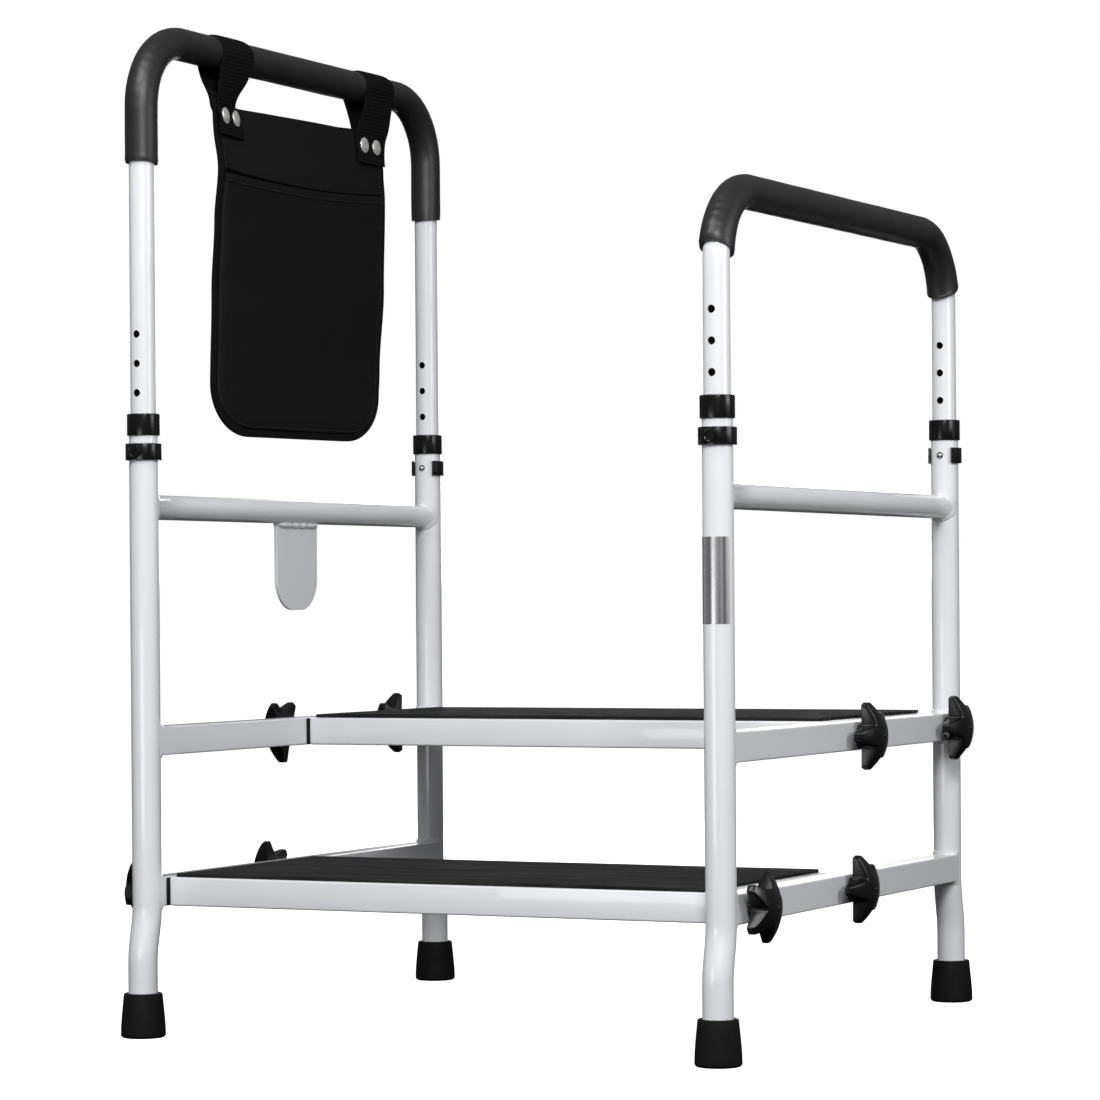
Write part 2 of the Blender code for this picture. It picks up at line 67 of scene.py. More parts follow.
CLIP_INNER_R, CLIP_R, CLIP_ARM_DEG = 0.0130, 0.01585, 136
RIB_PITCH = 0.0031                       # ribs of the tread mats
POUCH_CORNER = (0.064, 0.045)            # half-axes of its lower corners, along Y and Z
# The pouch bows inward: (distance below its top edge, how far it stands off its flat plane).
FRONT_BOW = (
    (0.0, 0.0005), (0.015, 0.0058), (0.060, 0.0125), (0.105, 0.0088), (0.170, 0.0055), (0.260, 0.0030),
)
REAR_BOW = (
    (0.0, 0.0066), (0.034, 0.0098), (0.060, 0.0112), (0.145, 0.0090), (0.225, 0.0036), (0.250, 0.0025),
)
POUCH_FRONT_INSET, POUCH_CORNER_TURN = 0.0030, 0.18
POCKET_INSET = 0.0068                    # from the panel's edge in to the pocket's
# Each loop: its Y at its ends and on the bar, half its snaps' spacing, and its half-width at three heights.
STRAPS = {
    "front": (-0.1258, -0.1215, 0.0122, (0.0262, 0.0212, 0.0262)),
    "rear": (0.1300, 0.1440, 0.0118, (0.0255, 0.0300, 0.0262)),
}
# How far the loops pull the panel's top edge up: (place along Y, lift).
TOP_LIFT = ((-0.153, 0.0130), (-0.095, 0.0007), (0.070, 0.0026), (0.107, 0.0040), (0.156, 0.0046))

SIDES = {"left": -1, "right": 1}
ENDS = {"front": -1, "rear": 1}
LEVELS = ("lower", "upper")
LEGS = [(side, end_name) for side in SIDES for end_name in ENDS]
RAILS = [(side, level) for side in SIDES for level in LEVELS]

# ---- camera ----
CAMERA_AT = (1.5040, -3.0806, 0.3755)
CAMERA_AIM_DEG = (90.054, -0.439, 26.153)  # tilt, roll and heading
CAMERA_LENS_MM, CAMERA_SHIFT_Y = 125.14, 0.0418

# ---- light: name, place, aim, width, height, watts ----
SKY_BELOW, SKY_ABOVE = 0.01, 0.21
LIGHTS = (
    ("key", (1.3, -2.2, 1.7), (0, 0, 0.3), 0.9, 0.9, 50),
    ("overhead", (-0.2, -1.2, 1.8), (0, 0, 0.4), 0.8, 0.8, 13),
    ("side", (2.4, 0.3, 1.0), (0, 0, 0.4), 0.8, 1.6, 3),
    ("near", (1.35, -0.15, 0.80), (0.25, 0, 0.2), 0.5, 0.5, 4.6),
    ("low", (-0.15, -1.45, 0.22), (0, -0.2, 0.12), 0.6, 0.25, 2),
    ("behind", (-1.1, 2.7, 0.9), (0, 0, 0.45), 1.0, 1.0, 14),
)


# ---- places from the frame ----
def middle(node):
    low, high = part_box(node)
    return (low + high) / 2


def size(node):
    low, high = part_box(node)
    return high - low


def pin_height(side):
    return middle(f"{side}_front_clip_pin").z


# ---- outlines and paths ----
def turns(steps):
    """Equal turns round a circle, in radians."""
    return [2 * math.pi * n / steps for n in range(steps)]


def arc(centre, radius, start_deg, end_deg, steps):
    span = [math.radians(start_deg + (end_deg - start_deg) * k / steps) for k in range(steps + 1)]
    return [(centre[0] + radius * math.cos(t), centre[1] + radius * math.sin(t)) for t in span]


def rounded(corners, radii, steps=5):
    """A closed outline whose corners are rounded, all by one radius or each by its own."""
    outline = []
    for k, corner in enumerate(corners):
        here = Vector(corner)
        before = (Vector(corners[k - 1]) - here).normalized()
        after = (Vector(corners[(k + 1) % len(corners)]) - here).normalized()
        radius = radii if isinstance(radii, float) else radii[k]
        if not radius:
            outline.append(tuple(here))
            continue
        half = before.angle(after) / 2
        reach = radius / math.tan(half)
        centre = here + (before + after).normalized() * (radius / math.sin(half))
        start, stop = here + before * reach - centre, here + after * reach - centre
        for n in range(steps + 1):
            outline.append(tuple(centre + start.slerp(stop, n / steps).normalized() * radius))
    return outline


def grown(outline, by):
    """A closed anticlockwise outline moved outward along its own normals."""
    points = np.array(outline)
    along = np.roll(points, -1, axis=0) - np.roll(points, 1, axis=0)
    along /= np.linalg.norm(along, axis=1)[:, None]
    return points + by * np.stack([along[:, 1], -along[:, 0]], axis=1)


def divided(path, most):
    """A path with points added, so that no run is longer than most."""
    points = [path[0]]
    for start, stop in zip(path, path[1:]):
        count = max(1, math.ceil((stop - start).length / most))
        points += [start.lerp(stop, (k + 1) / count) for k in range(count)]
    return points


def densified(outline, most):
    """A closed outline with points added in the same way."""
    closed = [Vector(p) for p in (*outline, outline[0])]
    return [tuple(p) for p in divided(closed, most)[:-1]]


def distances(path):
    """How far along a path each of its points is."""
    return [0.0, *accumulate((b - a).length for a, b in zip(path, path[1:]))]


def eased(stations, value):
    """Reads a value between (place, value) stations, with a smooth step from each to the next."""
    for (a, low), (b, high) in zip(stations, stations[1:]):
        if value < b:
            share = max(0.0, (value - a) / (b - a))
            return low + (high - low) * share * share * (3 - 2 * share)
    return stations[-1][1]


# ---- mesh helpers ----
AXES = {
    "Z": Matrix.Identity(3),
    "X": Matrix.Rotation(math.pi / 2, 3, "Y"),
    "-X": Matrix.Rotation(-math.pi / 2, 3, "Y"),
    "Y": Matrix.Rotation(-math.pi / 2, 3, "X"),
    "-Y": Matrix.Rotation(math.pi / 2, 3, "X"),
}


def new_object(name, data):
    obj = bpy.data.objects.new(name, data)
    bpy.context.scene.collection.objects.link(obj)
    return obj


def from_bmesh(name, bm, finish, smooth_deg=35):
    """Makes an object whose faces point outward, and whose round ones are smooth."""
    bmesh.ops.remove_doubles(bm, verts=bm.verts, dist=1e-6)
    bmesh.ops.dissolve_degenerate(bm, edges=bm.edges, dist=1e-7)
    bmesh.ops.recalc_face_normals(bm, faces=bm.faces)
    if bm.calc_volume(signed=True) < 0:
        bmesh.ops.reverse_faces(bm, faces=bm.faces)
    mesh = bpy.data.meshes.new(name)
    bm.to_mesh(mesh)
    bm.free()
    if finish:
        mesh.materials.append(finish)
    mesh.shade_smooth()
    mesh.set_sharp_from_angle(angle=math.radians(smooth_deg))
    return new_object(name, mesh)


def piece(name, points, faces, finish, smooth_deg=35):
    bm = bmesh.new()
    verts = [bm.verts.new(p) for p in points]
    for face in faces:
        bm.faces.new([verts[k] for k in face])
    return from_bmesh(name, bm, finish, smooth_deg)


def band(first, second, count):
    """The quads between two rings of points, given the index at which each starts."""
    return [(first + n, first + (n + 1) % count, second + (n + 1) % count, second + n) for n in range(count)]


def loft(name, rings, finish, close_path=False, caps=False, smooth_deg=35):
    """Skins closed rings of equal length, one after the other, with optional flat ends."""
    count, last = len(rings[0]), (len(rings) - 1) * len(rings[0])
    faces = [face for start in range(0, last, count) for face in band(start, start + count, count)]
    if close_path:
        faces += band(last, 0, count)
    if caps:
        faces += [tuple(range(count)), tuple(range(last, last + count))]
    return piece(name, [p for ring in rings for p in ring], faces, finish, smooth_deg)


def lathe(name, profile, finish, centre, axis="Z", steps=64, smooth_deg=35):
    """Turns a closed profile of (radius, height) points about an axis, named or a vector, through centre."""
    stand = AXES[axis] if isinstance(axis, str) else axis.to_track_quat("Z", "Y").to_matrix()
    rings = []
    for t in turns(steps):
        turn = Matrix.Rotation(t, 3, "Z")
        rings.append([stand @ (turn @ Vector((r, 0, z))) + Vector(centre) for r, z in profile])
    return loft(name, rings, finish, close_path=True, smooth_deg=smooth_deg)


def bevelled_box(name, low, high, finish, width, steps=3):
    """A block whose edges are all rounded."""
    bm = bmesh.new()
    low, high = Vector(low), Vector(high)
    shape = Matrix.Translation((low + high) / 2) @ Matrix.Diagonal((*(high - low), 1))
    bmesh.ops.create_cube(bm, size=1, matrix=shape)
    bmesh.ops.bevel(bm, geom=bm.edges, offset=width, segments=steps, profile=0.5, affect="EDGES")
    return from_bmesh(name, bm, finish, 50)


def drill(obj, centres, length, steps=28):
    """Cuts pin holes along Y through obj, one at each centre."""
    points, faces = [], []
    for centre in centres:
        first = len(points)
        for z in (-length / 2, length / 2):
            points += [Vector(centre) + AXES["Y"] @ Vector((HOLE_R * math.cos(t), HOLE_R * math.sin(t), z))
                       for t in turns(steps)]
        faces += [tuple(range(start, start + steps)) for start in (first, first + steps)]
        faces += band(first, first + steps, steps)
    cutter = piece("drill", points, faces, None)
    modifier = obj.modifiers.new("cut", "BOOLEAN")
    modifier.object = cutter
    with bpy.context.temp_override(object=obj, active_object=obj, selected_objects=[obj]):
        bpy.ops.object.modifier_apply(modifier=modifier.name)
    bpy.data.objects.remove(cutter, do_unlink=True)
    obj.data.set_sharp_from_angle(angle=math.radians(35))


def put(obj, body, slot, *nodes):
    """Rides obj on a body, and hides the CAD nodes that it stands for. Its slot argument is not used."""
    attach(obj, body)
    if nodes:
        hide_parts(*nodes)
    return obj


# ---- materials ----
def plug(tree, socket, value):
    """Sets a socket to a value, or links it to another node's output."""
    if isinstance(value, bpy.types.NodeSocket):
        tree.links.new(value, socket)
    else:
        socket.default_value = value


def add_node(tree, kind, inputs=(), **settings):
    made = tree.nodes.new(kind)
    for key, value in settings.items():
        setattr(made, key, value)
    for key, value in dict(inputs).items():
        plug(tree, made.inputs[key], value)
    return made


class Finish:
    """A Principled material, and short ways to add texture nodes to it."""

    def __init__(self, name, color, roughness, **sockets):
        self.material = bpy.data.materials.new(name)
        self.material.use_nodes = True
        self.tree = self.material.node_tree
        self.place = self.node("ShaderNodeTexCoord").outputs["Object"]
        self.set(Base_Color=(*color, 1), Roughness=roughness, **sockets)

    def set(self, **sockets):
        """Sets the shader's sockets, each to a value or to another node's output."""
        for key, value in sockets.items():
            plug(self.tree, self.tree.nodes["Principled BSDF"].inputs[key.replace("_", " ")], value)

    def node(self, kind, inputs=(), **settings):
        return add_node(self.tree, kind, inputs, **settings)

    def noise(self, scale, detail, rough=0.5, stretch=(1, 1, 1)):
        """Noise whose grains are 1 / scale metres across, longer along an axis with a low stretch."""
        moved = self.node("ShaderNodeMapping", {"Vector": self.place, "Scale": stretch}).outputs[0]
        inputs = {"Vector": moved, "Scale": scale, "Detail": detail, "Roughness": rough}
        return self.node("ShaderNodeTexNoise", inputs).outputs["Fac"]

    def ramp(self, value, low, high, to_low, to_high):
        """A value mapped from one range to another, and clamped."""
        inputs = {"Value": value, "From Min": low, "From Max": high, "To Min": to_low, "To Max": to_high}
        return self.node("ShaderNodeMapRange", inputs).outputs["Result"]

    def math(self, operation, first, second=0.0):
        return self.node("ShaderNodeMath", {0: first, 1: second}, operation=operation).outputs[0]

    def mixed(self, share, first, second):
        """A colour between two others. The Mix node's sockets 6 and 7 are its colours A and B."""
        inputs = {"Factor": share, 6: (*first, 1), 7: (*second, 1)}
        return self.node("ShaderNodeMix", inputs, data_type="RGBA").outputs[2]

    def wave(self, axis, pitch):
        """A sine between 0 and 1 along one axis of the object, with its crests a pitch apart."""
        split = self.node("ShaderNodeSeparateXYZ", {"Vector": self.place})
        turned = self.math("MULTIPLY", split.outputs[axis], 2 * math.pi / pitch)
        return self.math("MULTIPLY_ADD", self.math("SINE", turned), 0.5)

    def bump(self, height, distance, strength):
        inputs = {"Height": height, "Distance": distance, "Strength": strength}
        return self.node("ShaderNodeBump", inputs).outputs["Normal"]


def uneven(name, color, roughness, shades, cloud, rough, grain, **sockets):
    """A material with an uneven colour, shine and surface, each from its own noise of a scale and a detail.

    shades are the two colours that cloud mixes. rough ends in the range of the roughness, and grain in
    the depth and strength of the bump, and then in its own noise's roughness if that isn't 0.5.
    """
    made = Finish(name, color, roughness, **sockets)
    if shades:
        made.set(Base_Color=made.mixed(made.noise(*cloud), *shades))
    made.set(Roughness=made.ramp(made.noise(*rough[:2]), 0.3, 0.7, *rough[2:]))
    if grain:
        scale, detail, depth, strength, *noise_rough = grain
        made.set(Normal=made.bump(made.noise(scale, detail, *noise_rough), depth, strength))
    return made.material


def powder_coat():
    """Glossy white powder coat: a fine orange peel, and a colour that is very slightly uneven."""
    shades = ((0.785, 0.79, 0.82), (0.805, 0.815, 0.845))
    return uneven("white_powder_coat", (0.80, 0.81, 0.84), 0.32, shades, (14, 3), (60, 4, 0.29, 0.35),
                  (700, 1, 0.000004, 0.6), Coat_Weight=0.6, Coat_Roughness=0.07)


def foam():
    """Closed-cell foam: nearly black, with tiny cells under a soft skin."""
    shades = ((0.009, 0.009, 0.0095), (0.016, 0.016, 0.0165))
    return uneven("black_foam", (0.012, 0.012, 0.0125), 0.38, shades, (30, 4), (45, 3, 0.40, 0.50),
                  (1400, 3, 0.00006, 0.6, 0.6), Specular_IOR_Level=0.6)


def moulded_plastic():
    """Semi-gloss black plastic with a light spark-eroded grain."""
    shades = ((0.0045, 0.0045, 0.005), (0.0075, 0.0075, 0.008))
    return uneven("black_plastic", (0.006, 0.006, 0.0065), 0.2, shades, (90, 3), (130, 4, 0.16, 0.26),
                  (2600, 2, 0.000006, 0.5), Specular_IOR_Level=0.35)


def rubber():
    """Matte black rubber, dusty in its pores."""
    shades = ((0.0035, 0.0035, 0.0035), (0.008, 0.008, 0.008))
    return uneven("black_rubber", (0.006, 0.006, 0.006), 0.65, shades, (200, 5), (70, 4, 0.6, 0.78),
                  (1200, 3, 0.00005, 0.8), Specular_IOR_Level=0.15)


def zinc():
    """Bright zinc plate with fine turning marks."""
    return uneven("zinc_steel", (0.66, 0.66, 0.65), 0.24, None, None, (500, 3, 0.16, 0.3),
                  (2200, 2, 0.00001, 0.5), Metallic=1.0)


def nickel_with_painted_reflection():
    """Polished nickel of the snap caps, only partly metallic, so its near-white colour shows as a painted
    reflection of bright surroundings.
    """
    return uneven("polished_nickel_with_painted_reflection", (0.90, 0.89, 0.87), 0.2, None, None, (300, 3, 0.14, 0.26), None,
                  Metallic=0.65)


def matting():
    """Ribbed rubber matting, lighter and shinier in streaks along the ribs."""
    made = Finish("ribbed_rubber", (0.010, 0.010, 0.010), 0.7, Specular_IOR_Level=0.2)
    streaks = made.ramp(made.noise(190, 5, 0.7, (0.035, 1, 1)), 0.38, 0.72, 0.0, 1.0)
    made.set(Base_Color=made.mixed(streaks, (0.0025, 0.0025, 0.0025), (0.030, 0.030, 0.029)))
    made.set(Roughness=made.ramp(streaks, 0, 1, 0.82, 0.62))
    made.set(Normal=made.bump(made.noise(1500, 4), 0.00012, 0.9))
    return made.material


def foil():
    """Silver polyester foil, with dark grey and near-white bands along its length: painted reflections."""
    made = Finish("silver_foil", (0.62, 0.62, 0.63), 0.28, Metallic=0.6)
    # Painted reflection: stretched noise paints bright and dark bands into the colour.
    painted_reflection_bands = made.ramp(made.noise(240, 1, stretch=(1, 1, 0.004)), 0.36, 0.64, 0.0, 1.0)
    made.set(Base_Color=made.mixed(painted_reflection_bands, (0.24, 0.24, 0.25), (0.80, 0.80, 0.81)))
    made.set(Roughness=made.ramp(made.noise(40, 2), 0.3, 0.7, 0.26, 0.31))
    return made.material


def board():
    """Dark stained plywood, with a grain along X."""
    made = Finish("black_board", (0.045, 0.04, 0.035), 0.8)
    grain = made.noise(420, 5, stretch=(0.03, 1, 0.5))
    made.set(Base_Color=made.mixed(grain, (0.028, 0.024, 0.021), (0.07, 0.06, 0.05)))
    made.set(Roughness=made.ramp(grain, 0.3, 0.7, 0.7, 0.85))
    made.set(Normal=made.bump(grain, 0.0001, 0.6))
    return made.material


def woven(name, dark, light, pitch, depth, shine):
    """A plain weave in the Y-Z plane, one thread to each pitch."""
    made = Finish(name, dark, 0.88, Specular_IOR_Level=shine)
    across, down = made.wave("Y", 2 * pitch), made.wave("Z", 2 * pitch)
    threads = made.math("ADD", made.math("MULTIPLY", across, down), made.noise(1500, 2))
    cloud = made.noise(35, 4)
    made.set(Base_Color=made.mixed(cloud, dark, light))
    made.set(Roughness=made.ramp(cloud, 0.3, 0.7, 0.8, 0.92))
    made.set(Normal=made.bump(threads, depth, 0.8))
    return made.material


# ---- tubes ----
def tube_rings(path, radius_at):
    """Rings round a path in a plane of constant X. radius_at(how far along, turn) gives each radius."""
    across = Vector((1, 0, 0))
    runs = [(b - a).normalized() for a, b in zip(path, path[1:])]
    rings = []
    for point, arriving, leaving, s in zip(path, runs[:1] + runs, runs + runs[-1:], distances(path)):
        mitre = (arriving + leaving).normalized()
        up = across.cross(mitre) / mitre.dot(leaving)
        rings.append([point + radius_at(s, t) * (math.cos(t) * across + math.sin(t) * up)
                      for t in turns(TUBE_STEPS)])
    return rings


def hollow_tube(name, path, radius, bore, finish):
    outer, inner = (tube_rings(path, lambda s, t, r=r: r) for r in (radius, bore))
    return loft(name, outer + inner[::-1], finish, close_path=True)


def leg_path(side, end_name):
    """A leg's line from the floor, through its S-bend, to its top."""
    axis = middle(f"{side}_{end_name}_collar")
    foot_y = middle(f"{side}_{end_name}_foot").y
    low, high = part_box(f"{side}_{end_name}_leg")
    points, steps = [Vector((axis.x, foot_y, low.z))], 24
    for k in range(steps + 1):
        share = k / steps
        y = foot_y + (axis.y - foot_y) * (1 - math.cos(math.pi * share)) / 2
        points.append(Vector((axis.x, y, JOG_LOW + (JOG_HIGH - JOG_LOW) * share)))
    points.append(Vector((axis.x, axis.y, high.z)))
    return divided(points, 0.02)


def handle_bend_z(side):
    """Where a handle tube's two bends start."""
    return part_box(f"{side}_handle_tube")[1].z - INNER_R * CAD_FLAT - BEND_R


def handle_path(side):
    """The upside-down U that a handle tube follows."""
    foot_z, bend_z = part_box(f"{side}_handle_tube")[0].z, handle_bend_z(side)
    legs = [middle(f"{side}_{end_name}_collar") for end_name in ENDS]
    front = arc((legs[0].y + BEND_R, bend_z), BEND_R, 180, 90, 28)
    rear = arc((legs[1].y - BEND_R, bend_z), BEND_R, 90, 0, 28)
    route = [(legs[0].y, foot_z), *front, *rear, (legs[1].y, foot_z)]
    return [Vector((legs[0].x, y, z)) for y, z in route]


def make_legs(paint):
    for side, end_name in LEGS:
        node, axis = f"{side}_{end_name}_leg", middle(f"{side}_{end_name}_collar")
        leg = hollow_tube(f"{node}_tube", leg_path(side, end_name), LEG_R, LEG_BORE_R, paint)
        drill(leg, [(axis.x, axis.y, pin_height(side))], 4 * LEG_R)
        put(leg, "frame", "white_powder_coat", node)


def make_handles(paint, dark):
    """The two U tubes, each with a dark sheet lining its bore that shows through the holes as painted shade.
    """
    for side in SIDES:
        node = f"{side}_handle_tube"
        route = divided(handle_path(side), 0.008)
        tube = hollow_tube(f"{node}_fine", route, INNER_R, INNER_BORE_R, paint)
        # A thin black sheet inside the bore: painted shade that darkens the holes.
        bore = hollow_tube(f"{node}_bore", route, INNER_BORE_R - 0.0001, INNER_BORE_R - 0.0005, dark)
        heights = [pin_height(side) + k * HOLE_PITCH for k in range(-HOLES_BELOW, HOLES_ABOVE + 1)]
        axes = [middle(f"{side}_{end_name}_collar") for end_name in ENDS]
        for made in (tube, bore):
            drill(made, [(axis.x, axis.y, z) for axis in axes for z in heights], 4 * INNER_R)
        put(tube, f"{side}_handle", "white_powder_coat", node)
        put(bore, f"{side}_handle", "black_rubber")


# ---- welded bars ----
def bead(perimeter_share, seed):
    """How far a weld bead reaches at one place round a bar: rippled and a little uneven."""
    ripple = math.sin(2 * math.pi * 17 * perimeter_share)
    drift = noise.noise(Vector((3 * perimeter_share, seed, 0.5)))
    return WELD * (1 + 0.07 * ripple + 0.25 * drift)


def welded_bar(side, node, section, paint):
    """A bar of a section of (x, z) points along Y, whose ends follow the legs in weld beads."""
    centre, outline, count = middle(node), np.array(section), len(section)
    normals = grown(section, 1.0) - outline
    widest, steps, runs = 0.97 * LEG_R, 6, 12
    rings = []
    for end_name, end in ENDS.items():
        y_leg = middle(f"{side}_{end_name}_collar").y
        fillet = []
        for k in range(steps + 1):
            turn = math.radians(90 * k / steps)
            flat = 1 - 0.13 * math.sin(2 * turn)
            ring = []
            for n in range(count):
                width = bead(n / count, end + centre.z)
                u, v = outline[n] + normals[n] * width * math.sin(turn) * flat
                u = max(-widest, min(widest, u))
                y = y_leg - end * (math.sqrt(LEG_R ** 2 - u ** 2) + width * math.cos(turn) * flat)
                ring.append(Vector((centre.x + u, y, centre.z + v)))
            fillet.append(ring)
        inside = []
        for u, v in outline:
            y = y_leg - end * (math.sqrt(LEG_R ** 2 - min(abs(u), widest) ** 2) - 0.0008)
            inside.append(Vector((centre.x + 0.97 * u, y, centre.z + 0.97 * v)))
        rings.append([inside, *fillet[::-1]] if end < 0 else [*fillet, inside])
    front, rear = rings
    straight = [[a.lerp(b, k / runs) for a, b in zip(front[-1], rear[0])] for k in range(1, runs)]
    bar = loft(f"{node}_welded", front + straight + rear, paint, caps=True, smooth_deg=50)
    put(bar, "frame", "white_powder_coat", node)


def make_cross_bars(paint):
    for side in SIDES:
        welded_bar(side, f"{side}_cross_bar", arc((0, 0), CROSS_R, 0, 360 * 47 / 48, 47), paint)


def make_rails(paint):
    for side, level in RAILS:
        node = f"{side}_{level}_rail"
        half, runs = size(node).z / 2, 6
        corners = [Vector(p) for p in ((-half, -half), (half, -half), (half, half), (-half, half))]
        section = [tuple(start.lerp(stop, k / runs))
                   for start, stop in zip(corners, corners[1:] + corners[:1]) for k in range(runs)]
        radii = [0 if k % runs else TUBE_EDGE_R for k in range(4 * runs)]
        welded_bar(side, node, rounded(section, radii, 4), paint)


def make_tongue(paint):
    """The round-ended plate under the left cross bar, with a lumpy weld bead along its top."""
    node = "left_tongue_plate"
    low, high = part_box(node)
    corner, edge = 0.029, 0.0005
    corners = [(low.y, high.z), (low.y, low.z), (high.y, low.z), (high.y, high.z)]
    outline = rounded(corners, [0, corner, corner, 0], 12)
    layers = [(low.x, -edge), (low.x + edge, 0), (high.x - edge, 0), (high.x, -edge)]
    rings = [[Vector((x, *p)) for p in grown(outline, by)] for x, by in layers]
    put(loft("left_tongue", rings, paint, caps=True), "frame", "white_powder_coat", node)

    steps = 46
    for face, face_name in ((-1, "outer"), (1, "inner")):
        rings = []
        for k in range(steps + 1):
            y = low.y + 0.001 + (high.y - low.y - 0.002) * k / steps
            swell = 1 + 0.10 * math.sin(k * 1.9) + 0.45 * noise.noise(Vector((k * 0.23, face, 2.0)))
            taper = math.sin(math.pi * min(1, min(k, steps - k) / 4) / 2) + 0.15
            r = 0.0021 * swell * taper
            centre = Vector((middle(node).x + face * 0.0028, y, high.z - 0.0008))
            rings.append([centre + Vector((r * math.cos(t), 0, r * math.sin(t))) for t in turns(12)])
        weld = loft(f"left_tongue_weld_{face_name}", rings, paint, caps=True, smooth_deg=60)
        put(weld, "frame", "white_powder_coat")


# ---- feet, collars, clips ----
def make_feet(finish):
    """Tapered rubber feet with a soft rim, a rounded floor edge and a grooved sole."""
    for side, end_name in LEGS:
        node = f"{side}_{end_name}_foot"
        centre, height, radius = middle(node), size(node).z, size(node).x / 2 / CAD_FLAT
        top_r, bore, groove = 0.0168, LEG_R + 0.0003, 0.0008
        sole = [(0, groove)]
        for r in (0.006, 0.0115):
            sole += [(r - 0.0012, groove), (r - 0.0008, 0), (r + 0.0022, 0), (r + 0.0026, groove)]
        wall = arc((radius - 0.0030, 0.0030), 0.0030, -90, 8, 7)
        waist = [(radius - 0.0002, 0.0100), (radius - 0.0009, 0.0190), (radius - 0.0018, 0.0280)]
        rim = arc((top_r - 0.0014, height - 0.0014), 0.0014, 5, 90, 5)
        lip = arc((bore + 0.0008, height - 0.0008), 0.0008, 90, 180, 3)
        profile = [*sole, *wall, *waist, *rim, *lip, (bore, 0.0060), (0, 0.0060)]
        foot = lathe(f"{node}_moulded", profile, finish, (centre.x, centre.y, 0), smooth_deg=40)
        put(foot, "frame", "black_rubber", node)


def make_collars(finish):
    for side, end_name in LEGS:
        node = f"{side}_{end_name}_collar"
        centre, height, radius = middle(node), size(node).z, size(node).x / 2 / CAD_FLAT
        edge, sleeve, lip = 0.0011, LEG_R + 0.0003, LEG_BORE_R
        profile = [
            (sleeve, 0), *arc((radius - 0.0006, 0.0006), 0.0006, -90, 0, 3),
            *arc((radius - edge, height - edge), edge, 0, 90, 5),
            (lip + 0.0005, height), (lip, height - 0.0005), (lip, height - 0.0036), (sleeve, height - 0.0036),
        ]
        base = (centre.x, centre.y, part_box(node)[0].z)
        put(lathe(f"{node}_moulded", profile, finish, base, steps=72), "frame", "black_plastic", node)


def make_clips(finish, steel):
    """C-shaped snap clips with a round boss, flared arm ends, and the dome-ended pin they carry."""
    for side, end_name in LEGS:
        node, body, end = f"{side}_{end_name}_snap_clip", f"{side}_{end_name}_clip", ENDS[end_name]
        axis = "Y" if end > 0 else "-Y"
        centre = middle(f"{side}_{end_name}_collar")
        centre.z = pin_height(side)
        half, steps = size(node).z / 2, 60
        rings = []
        for k in range(steps + 1):
            share = 2 * k / steps - 1
            turn = math.radians(90 * end + CLIP_ARM_DEG * share)
            flare = 0.0009 * max(0, (abs(share) - 0.9) / 0.1) ** 1.5
            inner, outer = CLIP_INNER_R + flare, CLIP_R + flare
            section = rounded([(inner, -half), (outer, -half), (outer, half), (inner, half)], 0.0006, 3)
            spoke = Vector((math.cos(turn), math.sin(turn), 0))
            rings.append([centre + spoke * r + Vector((0, 0, z)) for r, z in section])
        put(loft(f"{node}_band", rings, finish, caps=True), body, "black_plastic", node)

        boss_r, root, face = 0.0060, CLIP_R - 0.0016, CLIP_R + 0.0012
        profile = [
            (0, root), (boss_r, root), (boss_r, face - 0.0005), (boss_r - 0.0005, face),
            (boss_r - 0.0014, face), (boss_r - 0.0020, face - 0.0004), (0, face - 0.0002),
        ]
        put(lathe(f"{node}_boss", profile, finish, centre, axis, 48), body, "black_plastic")

        node = f"{side}_{end_name}_clip_pin"
        low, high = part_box(node)
        radius, length = size(node).z / 2, size(node).y
        profile = [*arc((0, radius), radius, -90, 0, 7), (radius, length - 0.0002), (0, length - 0.0002)]
        tip = (centre.x, low.y if end > 0 else high.y, centre.z)
        put(lathe(f"{node}_turned", profile, steel, tip, axis, 32), body, "zinc_steel", node)


def make_label(finish):
    """The blank foil sticker round the front of the right front leg."""
    node, axis = "right_front_label", middle("right_front_collar")
    low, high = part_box(node)
    corner, outer_r, inner_r = 0.0012, LEG_R + 0.0003, LEG_R - 0.0006
    half_turn, rows, columns = math.radians(68), 40, 60
    rings = []
    for k in range(rows + 1):
        z = low.z + (high.z - low.z) * k / rows
        near_end = max(0.0, corner - min(z - low.z, high.z - z))
        inset = corner - math.sqrt(max(0.0, corner ** 2 - near_end ** 2))
        ring = []
        for radius, order in ((outer_r, 1), (inner_r, -1)):
            span = np.linspace(-1, 1, columns + 1)[::order] * (half_turn - inset / outer_r)
            ring += [Vector((axis.x + radius * math.sin(t), axis.y - radius * math.cos(t), z)) for t in span]
        rings.append(ring)
    put(loft("right_front_foil", rings, finish, caps=True), "frame", "silver_foil", node)


# ---- treads ----
def make_treads(paint, mat_finish, board_finish, shadow_gap_pad_finish):
    for level in LEVELS:
        node = f"{level}_step_frame"
        low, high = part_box(node)
        tube = high.z - low.z
        put(tread_frame(f"{node}_welded", low, high, paint), "frame", "white_powder_coat", node)
        brace = bevelled_box(f"{level}_step_brace", (-tube / 2, low.y + tube, low.z),
                             (tube / 2, high.y - tube, low.z + 0.012), paint, 0.0015)
        put(brace, "frame", "white_powder_coat")
        make_shadow_gap_pads(level, low, high, shadow_gap_pad_finish)
        make_mat(level, mat_finish)
        node = f"{level}_step_board"
        plank = bevelled_box(f"{level}_board_cut", *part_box(node), board_finish, 0.0006, 2)
        put(plank, "frame", "black_board", node)


